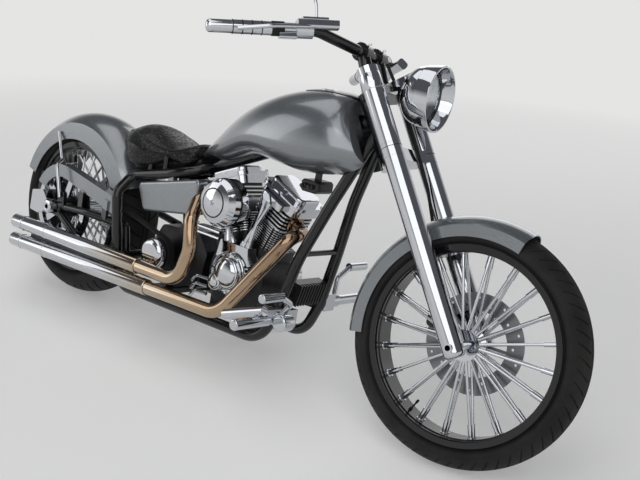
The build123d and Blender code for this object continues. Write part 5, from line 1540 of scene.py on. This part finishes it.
@dataclass(frozen=True)
class LampParts:
    """The headlamp's bowl with its arm, the bulb and the black ring round the lens.

    Profiles run backwards from the lamp's front, and the ring's radii are over the lens's.
    """

    ahead: float = 0.1996
    above: float = -0.0904
    lens_r: float = 0.072
    shell: Profile = (
        (0.117, 0.0005), (0.1165, 0.012), (0.1145, 0.026), (0.110, 0.041), (0.103, 0.055), (0.094, 0.067),
        (0.083, 0.077), (0.070, 0.084), (0.058, 0.0875), (0.048, 0.088), (0.048, 0.0905), (0.047, 0.0915),
        (0.030, 0.0940), (0.004, 0.0965), (0.001, 0.0962), (0.0, 0.0950), (0.0, 0.0915), (0.001, 0.0905),
        (0.012, 0.0868), (0.038, 0.078), (0.038, 0.072))
    dish_back: float = 0.0840
    dish_deep: float = 0.038
    dish_steps: int = 10
    pole: float = 0.0005
    arm_half: float = 0.0195
    arm: Profile = ((0.0623, -0.013), (0.0623, 0.013), (0.150, 0.014), (0.132, -0.030))
    bulb: Profile = ((0.090, 0.006), (0.062, 0.006), (0.058, 0.0085), (0.050, 0.0085), (0.0475, 0.006),
                     (0.0465, 0.001))
    ring: Profile = ((0.0365, 0.0045), (0.0340, 0.0030), (0.0340, -0.0015), (0.0375, -0.0030),
                     (0.0375, 0.0045))

    def build(self) -> None:
        """Build what shows behind and round the lens."""
        centre = fork_place(self.ahead, 0.0, self.above)
        back = Vector((-1.0, 0.0, 0.0))
        shares = [step / self.dish_steps for step in range(self.dish_steps, 0, -1)]
        dish = [(self.dish_back - self.dish_deep * share ** 2, self.pole + (self.lens_r - self.pole) * share)
                for share in shares]
        bowl = turned([*self.shell, *dish], centre, back, 96)
        arm = lofted([[fork_place(ahead, across, above) for ahead, above in self.arm]
                      for across in (-self.arm_half, self.arm_half)])
        lamp = add_piece("lamp_bowl", Body.FORK, joined([bowl, arm]), palette.chrome)
        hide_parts("headlight")
        add_piece("lamp_bulb", Body.FORK, turned(self.bulb, centre, back, 28), palette.bulb)
        ring = turned([(place, self.lens_r + rise) for place, rise in self.ring], centre, back, 72, True)
        add_piece("lamp_ring", Body.FORK, ring, palette.enamel)


@dataclass(frozen=True)
class Pipe:
    """One exhaust pipe: a bent header, a sleeve with a rolled open end, a port flange and two bands.

    The corners are given from the rear axle, with the heights over the ground, each with its bend radius.
    """

    name: str
    port: Vector
    outward: Vector
    port_run: float
    corners: tuple[tuple[Point, float], ...]
    sleeve_from: float
    reach: float
    header_r: float = 0.0225
    sleeve_r: float = 0.0270
    wall: float = 0.0020
    mouth: float = 0.150
    port_bend: float = 0.030
    flange: Profile = ((0.0010, 0.0228), (0.0010, 0.0330), (0.0045, 0.0340), (0.0090, 0.0330),
                       (0.0100, 0.0228))
    band: Profile = ((0.0, -0.0004), (0.0006, 0.0012), (0.0044, 0.0012), (0.0050, -0.0004))
    bands_at: tuple[float, float] = (0.060, 0.200)

    def build(self) -> None:
        """Make the pipe with its heat colours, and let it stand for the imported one."""
        rows = [(self.port, 0.0), (self.port + self.outward * self.port_run, self.port_bend)]
        rows += [(Vector(place) - UP * REAR_AXLE_HIGH, radius) for place, radius in self.corners]
        header = swept(bent(rows), self.header_r, 40)
        last, end = rows[-2][0], rows[-1][0]
        run = (end - last).normalized()
        length = (end - last).length - self.sleeve_from
        r = self.sleeve_r
        sleeve = turned([(0.0, self.header_r - 0.001), (0.0, r - 0.0022), (0.0012, r - 0.0008), (0.0032, r),
                         (length - 0.0030, r), (length - 0.0008, r - 0.0004), (length, r - 0.0010),
                         (length - 0.0008, r - self.wall), (length - self.mouth, r - self.wall),
                         (length - self.mouth - 0.001, 0.001)], last + run * self.sleeve_from, run, 64)
        flange = turned(self.flange, self.port, self.outward, 48, True)
        band = [(place, r + rise) for place, rise in self.band]
        bands = [turned(band, end - run * place, run, 64, True) for place in self.bands_at]
        finish = HeatedPipe(f"{self.name}_finish", tuple(layout.frame @ self.port), self.reach).build()
        shape = joined([header, sleeve, flange, *bands])
        piece = add_piece(self.name, Body.FRAME, shape, finish, 40.0)
        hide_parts(self.name.replace("_pipe", "_exhaust"))


@dataclass(frozen=True)
class Exhausts:
    """The rear cylinder's upper pipe and the front cylinder's lower pipe."""

    upper: Pipe = Pipe(
        "upper_pipe", port=cylinder_place(-1, -0.040, -0.0703, 0.266), outward=RIGHT, port_run=0.080,
        sleeve_from=0.190, reach=0.75,
        corners=(((0.758, -0.196, 0.470), 0.060), ((0.782, -0.204, 0.370), 0.090),
                 ((0.750, -0.208, 0.262), 0.070), ((-0.134, -0.230, 0.242), 0.0)))
    lower: Pipe = Pipe(
        "lower_pipe", port=cylinder_place(1, 0.0703, -0.020, 0.266), outward=cylinder_aim(1, 1.0, 0.0, 0.0),
        port_run=0.050, sleeve_from=0.330, reach=1.05,
        corners=(((1.118, -0.112, 0.506), 0.045), ((0.946, -0.200, 0.212), 0.090),
                 ((-0.134, -0.230, 0.172), 0.0)))

    def build(self) -> None:
        """Build both pipes."""
        self.upper.build()
        self.lower.build()


@dataclass(frozen=True)
class EngineTrim:
    """The domed caps of the cam cover, and the air cleaner's black bands, a black ring of painted shade in the
    dome's groove, and screws.
    """

    cam_at: Point = (0.885, -0.1363, -0.005)
    dome: Profile = ((-0.002, 0.0475), (0.001, 0.0475), (0.005, 0.0440), (0.010, 0.0330), (0.0135, 0.0180),
                     (0.0145, 0.0060), (0.0146, 0.0005))
    rim: Profile = ((-0.014, 0.0665), (-0.010, 0.0690), (-0.006, 0.0665))
    boss_at: Point = (0.851, -0.1483, -0.041)
    boss: Profile = ((-0.002, 0.0215), (0.003, 0.0200), (0.006, 0.0130), (0.007, 0.0005))
    filter_at: Point = (0.858, -0.112, 0.220)
    # The air cleaner's black bands round its middle and behind it, and last a small black ring in the dome's
    # groove that is painted shade
    filter_bands_and_groove_shade: tuple[Profile, ...] = (
        ((0.0442, 0.0650), (0.0442, 0.0745), (0.0518, 0.0745), (0.0518, 0.0650)),
        ((0.0005, 0.0550), (0.0005, 0.0612), (0.0155, 0.0612), (0.0155, 0.0550)),
        # Painted shade: a black ring where the dome's groove is
        ((0.0970, 0.0430), (0.0986, 0.0434), (0.0982, 0.0452), (0.0970, 0.0470), (0.0955, 0.0475),
         (0.0940, 0.0450)))
    screw: float = 0.0060
    cap_screw_out: float = 0.1035
    rim_screw_out: float = 0.0785
    rim_screw_circle: float = 0.0705
    rim_screws: int = 6
    rim_screw_lean: float = 0.55

    def build(self) -> None:
        """Build the trim."""
        cam, boss_at, cleaner = Vector(self.cam_at), Vector(self.boss_at), Vector(self.filter_at)
        domes = [turned(self.dome, cam, RIGHT, 64), turned(self.rim, cam, RIGHT, 64, True),
                 turned(self.boss, boss_at, RIGHT, 40)]
        add_piece("cam_cover_domes", Body.FRAME, joined(domes), palette.chrome, 30.0)
        # Black bands, and the groove's painted shade as a black ring
        bands = [turned(band, cleaner, RIGHT, 72, True) for band in self.filter_bands_and_groove_shade]
        add_piece("filter_bands_and_groove_shade", Body.FRAME, joined(bands), palette.rubber, 30.0)
        rows = [(cleaner + RIGHT * self.cap_screw_out, RIGHT, 1.3)]
        for index in range(self.rim_screws):
            out = spoke_aim(2 * math.pi * (index + 0.5) / self.rim_screws)
            place = cleaner + RIGHT * self.rim_screw_out + out * self.rim_screw_circle
            rows.append((place, (RIGHT + out * self.rim_screw_lean).normalized(), 0.7))
        heads[Fastener.SOCKET].set("filter_screws", Body.FRAME, self.screw, rows)


@dataclass(frozen=True)
class FrameTrim:
    """Small parts on the frame: seat pan, pipe bracket, coil, axle covers, case fins and oil lines.

    The pan's rows are X, half width and upper height. The pipe bracket's and the coil's corners are X and Z.
    """

    pan_rows: tuple[Point, ...] = (
        (0.345, 0.112, 0.245), (0.352, 0.118, 0.244), (0.400, 0.110, 0.254), (0.450, 0.098, 0.266),
        (0.540, 0.074, 0.288), (0.598, 0.050, 0.304), (0.606, 0.044, 0.307))
    pan_depth: float = 0.034
    pan_lip: float = 0.008
    pan_round: float = 0.003
    strip: Profile = ((-0.060, -0.133), (0.600, -0.133), (0.600, -0.107), (-0.060, -0.107))
    strip_from: float = -0.214
    strip_to: float = -0.206
    coil_at: tuple[float, float] = (1.086, 0.326)
    coil_half: float = 0.040
    coil: Profile = ((-0.034, -0.012), (-0.026, -0.019), (0.026, -0.019), (0.034, -0.012), (0.034, 0.012),
                     (0.026, 0.019), (-0.026, 0.019), (-0.034, 0.012))
    strap: Profile = ((-0.012, 0.015), (0.012, 0.015), (0.010, 0.090), (-0.010, 0.090))
    strap_half: float = 0.004
    tower: Profile = ((-0.002, 0.0085), (0.010, 0.0085), (0.012, 0.0065), (0.021, 0.0060), (0.022, 0.0040))
    tower_half: float = 0.014
    axle_cover: Profile = ((-0.018, 0.0204), (-0.018, 0.0240), (0.0002, 0.0240), (0.0028, 0.0226),
                           (0.0044, 0.0175), (0.0048, 0.0120), (0.0040, 0.0092), (0.0006, 0.0086),
                           (0.0006, 0.0190))
    fins_at: Point = (0.713, -0.082, -0.095)
    fin: tuple[tuple[Point, float], ...] = (((0.042, 0.010, 0.030), 0.0), ((-0.006, 0.0, 0.030), 0.020),
                                            ((-0.030, 0.006, 0.004), 0.0))
    fin_radius: float = 0.0062
    fin_pitch: float = 0.026
    fins: int = 3
    lines_at: Point = (0.702, -0.090, 0.082)
    line: tuple[tuple[Point, float], ...] = (((-0.050, 0.030, 0.0), 0.0), ((-0.030, 0.0, 0.0), 0.012),
                                             ((0.090, 0.0, 0.0), 0.0))
    line_radius: float = 0.0058
    line_pitch: float = 0.020
    lines: int = 2

    def build(self) -> None:
        """Build each piece."""
        add_piece("seat_pan", Body.FRAME, self.pan(), palette.satin, 40.0)
        strip = plate(self.strip, self.strip_from, self.strip_to)
        add_piece("pipe_bracket", Body.FRAME, strip, palette.satin, 30.0)
        add_piece("ignition_coil", Body.FRAME, self.ignition_coil(), palette.satin, 30.0)
        half = AXLE_HALVES["rear_axle_bore"]
        covers = [turned(self.axle_cover, LEFT * (side * half), LEFT * side, 56, True) for side in (-1, 1)]
        add_piece("axle_covers", Body.FRAME, joined(covers), palette.chrome, 40.0)
        fins = [self.bar(self.fin, self.fins_at, -self.fin_pitch * index, self.fin_radius, 14)
                for index in range(self.fins)]
        add_piece("case_fins", Body.FRAME, joined(fins), palette.chrome, 60.0)
        lines = [self.bar(self.line, self.lines_at, self.line_pitch * index, self.line_radius, 16)
                 for index in range(self.lines)]
        add_piece("oil_lines", Body.FRAME, joined(lines), palette.chrome, 60.0)

    def pan(self) -> Shape:
        """The tray under the saddle.

        Returns:
            Points and faces.
        """
        sections = []
        for x, half, low in self.pan_rows:
            drop = low - self.pan_depth
            right = ((-half, low), (-half * 0.97, low - self.pan_lip), (-half * 0.86, drop + self.pan_round),
                     (-half * 0.82, drop))
            sections.append([Vector((x, y, z)) for y, z in (*right, *((-y, z) for y, z in reversed(right)))])
        return lofted(sections)

    def ignition_coil(self) -> Shape:
        """The coil under the tank, on its strap, with two outlet towers.

        Returns:
            Points and faces.
        """
        x, z = self.coil_at
        coil, strap = ([(x + ahead, z + above) for ahead, above in outline]
                       for outline in (self.coil, self.strap))
        towers = [turned(self.tower, Vector((x + shift, -self.coil_half, z)), RIGHT, 24)
                  for shift in (-self.tower_half, self.tower_half)]
        return joined([plate(coil, -self.coil_half, self.coil_half, 0.004),
                       plate(strap, -self.strap_half, self.strap_half, 0.001), *towers])

    def bar(self, corners: Sequence[tuple[Point, float]], start: Point, rise: float, radius: float,
            steps: int) -> Shape:
        """A bent round bar.

        Args:
            corners: Corners from the start, each with its bend radius.
            start: The corners' origin in the layout.
            rise: How far up the bar is moved.
            radius: The bar's radius.
            steps: Points round the bar.

        Returns:
            Points and faces.
        """
        origin = Vector(start) + UP * rise
        return swept(bent([(origin + Vector(corner), bend) for corner, bend in corners]), radius, steps)


@dataclass(frozen=True)
class ForkTrim:
    """Dark seam rings and bright upper covers on the fork legs, at their places along each leg from its foot.

    The profiles' radii are over the leg's.
    """

    leg_radius: float = 0.031
    axle_beyond_leg: float = 0.037
    seam_at: float = 0.575
    seam: Profile = ((0.0, -0.0008), (0.0, 0.0003), (0.0016, 0.0003), (0.0016, -0.0008))
    cover_at: float = 0.773
    cover: Profile = ((-0.024, -0.0010), (-0.024, 0.0004), (-0.0228, 0.0010), (0.0228, 0.0010),
                      (0.024, 0.0004), (0.024, -0.0010))

    def build(self) -> None:
        """Build the rings and covers."""
        seams = self.on_legs(self.seam, self.seam_at, 64)
        add_piece("leg_seams", Body.FORK, seams, palette.rubber, 30.0)
        covers = self.on_legs(self.cover, self.cover_at, 72)
        add_piece("leg_covers", Body.FORK, covers, palette.chrome, 40.0)

    def on_legs(self, profile: Profile, place: float, steps: int) -> Shape:
        """A ring round each leg.

        Args:
            profile: Places along the leg, and radii over the leg's.
            place: Metres from the leg's foot.
            steps: Points round the leg.

        Returns:
            Points and faces of both rings.
        """
        rake = math.radians(RAKE)
        up = Vector((-math.sin(rake), 0.0, math.cos(rake)))
        across = AXLE_HALVES["front_axle_bore"] - self.axle_beyond_leg
        outline = [(along, self.leg_radius + rise) for along, rise in profile]
        middle = Vector(FRONT_AXLE_FROM_REAR) + up * place
        return joined(turned(outline, middle + LEFT * (side * across), up, steps, True) for side in (-1, 1))


@dataclass(frozen=True)
class Lamp:
    """One large soft lamp of the studio, in metres and watts."""

    name: str
    place: Point
    aim: Point
    size: tuple[float, float]
    power: float

    def build(self) -> None:
        """Hang the lamp."""
        lamp = bpy.data.lights.new(self.name, "AREA")
        lamp.shape = "RECTANGLE"
        lamp.size, lamp.size_y = self.size
        lamp.energy = self.power
        holder = bpy.data.objects.new(self.name, lamp)
        holder.location = self.place
        holder.rotation_euler = (Vector(self.aim) - Vector(self.place)).to_track_quat("-Z", "Y").to_euler()
        bpy.context.scene.collection.objects.link(holder)


@dataclass(frozen=True)
class Studio:
    """Floor, lamps, world and camera.

    The world is pale at the horizon and dark above, and the floor fades to an even tone between near and far.
    """

    floor_size: float = 60.0
    floor_tone: Colour = (0.80, 0.80, 0.795)
    far_tone: Colour = (0.78, 0.78, 0.775)
    sky_tone: Colour = (0.11, 0.115, 0.125)
    horizon_to: float = 0.14
    sky_from: float = 0.44
    diffuse_share: float = 0.55
    lift: float = 0.30
    near: float = 1.5
    far: float = 5.5
    lamps: tuple[Lamp, ...] = (
        Lamp("key", (2.2, -3.6, 3.6), (0.0, 0.0, 0.5), (5.2, 3.4), 84.0),
        Lamp("overhead", (-0.4, -0.6, 4.2), (0.0, 0.0, 0.4), (6.0, 2.0), 44.0),
        Lamp("side", (-3.6, -2.6, 2.2), (-0.2, 0.0, 0.5), (2.0, 3.4), 28.0),
        Lamp("rim", (-1.4, 4.0, 2.6), (0.0, 0.0, 0.6), (3.4, 2.4), 30.0))

    def build(self) -> None:
        """Set up the studio around the machine."""
        bpy.context.scene.view_settings.view_transform = "Standard"
        self.build_world()
        self.build_floor()
        for lamp in self.lamps:
            lamp.build()
        self.build_camera()

    def build_world(self) -> None:
        """Pale surroundings for the camera and for reflections, dimmer as a light."""
        world = bpy.data.worlds.new("studio_world")
        bpy.context.scene.world = world
        world.use_nodes = True
        nodes, link = world.node_tree.nodes, world.node_tree.links.new
        background = nodes["Background"]
        split = nodes.new("ShaderNodeSeparateXYZ")
        link(nodes.new("ShaderNodeTexCoord").outputs["Generated"], split.inputs[0])
        ramp = nodes.new("ShaderNodeValToRGB")
        link(split.outputs["Z"], ramp.inputs[0])
        places, tones = (self.horizon_to, self.sky_from), (self.far_tone, self.sky_tone)
        for stop, place, tone in zip(ramp.color_ramp.elements, places, tones):
            stop.position, stop.color = place, (*tone, 1.0)
        link(ramp.outputs[0], background.inputs["Color"])
        path = nodes.new("ShaderNodeLightPath")
        seen = path.outputs["Is Camera Ray"]
        for ray in ("Is Glossy Ray", "Is Transmission Ray"):
            either = nodes.new("ShaderNodeMath")
            either.operation = "MAXIMUM"
            link(seen, either.inputs[0])
            link(path.outputs[ray], either.inputs[1])
            seen = either.outputs[0]
        strength = nodes.new("ShaderNodeMapRange")
        link(seen, strength.inputs["Value"])
        strength.inputs["To Min"].default_value = self.diffuse_share
        strength.inputs["To Max"].default_value = 1.0
        link(strength.outputs[0], background.inputs["Strength"])

    def build_floor(self) -> None:
        """A wide pale floor."""
        half = self.floor_size / 2
        mesh = bpy.data.meshes.new("floor")
        corners = [(-half, -half, 0), (half, -half, 0), (half, half, 0), (-half, half, 0)]
        mesh.from_pydata(corners, [], [(0, 1, 2, 3)])
        floor = bpy.data.objects.new("floor", mesh)
        bpy.context.scene.collection.objects.link(floor)
        g = Graph("floor_paint")
        away = g.add("VectorMath", {0: g.place()}, operation="LENGTH").outputs["Value"]
        g.set(Base_Color=self.floor_tone, Roughness=0.75, Specular_IOR_Level=0.2,
              Emission_Color=self.far_tone, Emission_Strength=self.lift)
        even = g.add("Emission", {"Color": (*self.far_tone, 1.0), "Strength": 1.0}).outputs[0]
        share = g.span(away, 0.0, 1.0, self.near, self.far)
        blend = g.add("MixShader", {0: share, 1: g.shader.outputs[0], 2: even}).outputs[0]
        g.feed(g.tree.nodes["Material Output"].inputs["Surface"], blend)
        mesh.materials.append(g.material)

    def build_camera(self) -> None:
        """The photograph's viewpoint."""
        azimuth, elevation, roll = (math.radians(v) for v in (CAMERA_AZIMUTH, CAMERA_ELEVATION, CAMERA_ROLL))
        level = math.cos(elevation)
        forward = Vector((-math.sin(azimuth) * level, math.cos(azimuth) * level, -math.sin(elevation)))
        level_right = Vector((math.cos(azimuth), math.sin(azimuth), 0.0))
        right = level_right * math.cos(roll) + level_right.cross(forward) * math.sin(roll)
        lens = bpy.data.cameras.new("camera")
        lens.sensor_width = SENSOR_WIDTH_MM
        lens.lens = CAMERA_FOCAL_PIXELS / IMAGE_WIDTH_PIXELS * SENSOR_WIDTH_MM
        camera = bpy.data.objects.new("camera", lens)
        turn = Matrix((right, right.cross(forward), -forward)).transposed().to_4x4()
        camera.matrix_world = Matrix.Translation(layout.rear_axle + CAMERA_FROM_REAR_AXLE) @ turn
        bpy.context.scene.collection.objects.link(camera)
        bpy.context.scene.camera = camera


def main() -> None:
    """Build every sub-assembly, then the studio."""
    logging.basicConfig(level=logging.INFO, format="%(name)s: %(message)s")
    for part in (Bodywork(), Wheels(), Fasteners(), Saddle(), TankTrim(), BarTrim(), LampParts(), Exhausts(),
                 EngineTrim(), FrameTrim(), ForkTrim(), GripSleeves(), Studio()):
        part.build()
        log.info("built %s", type(part).__name__)


if __name__ == "__main__":
    main()
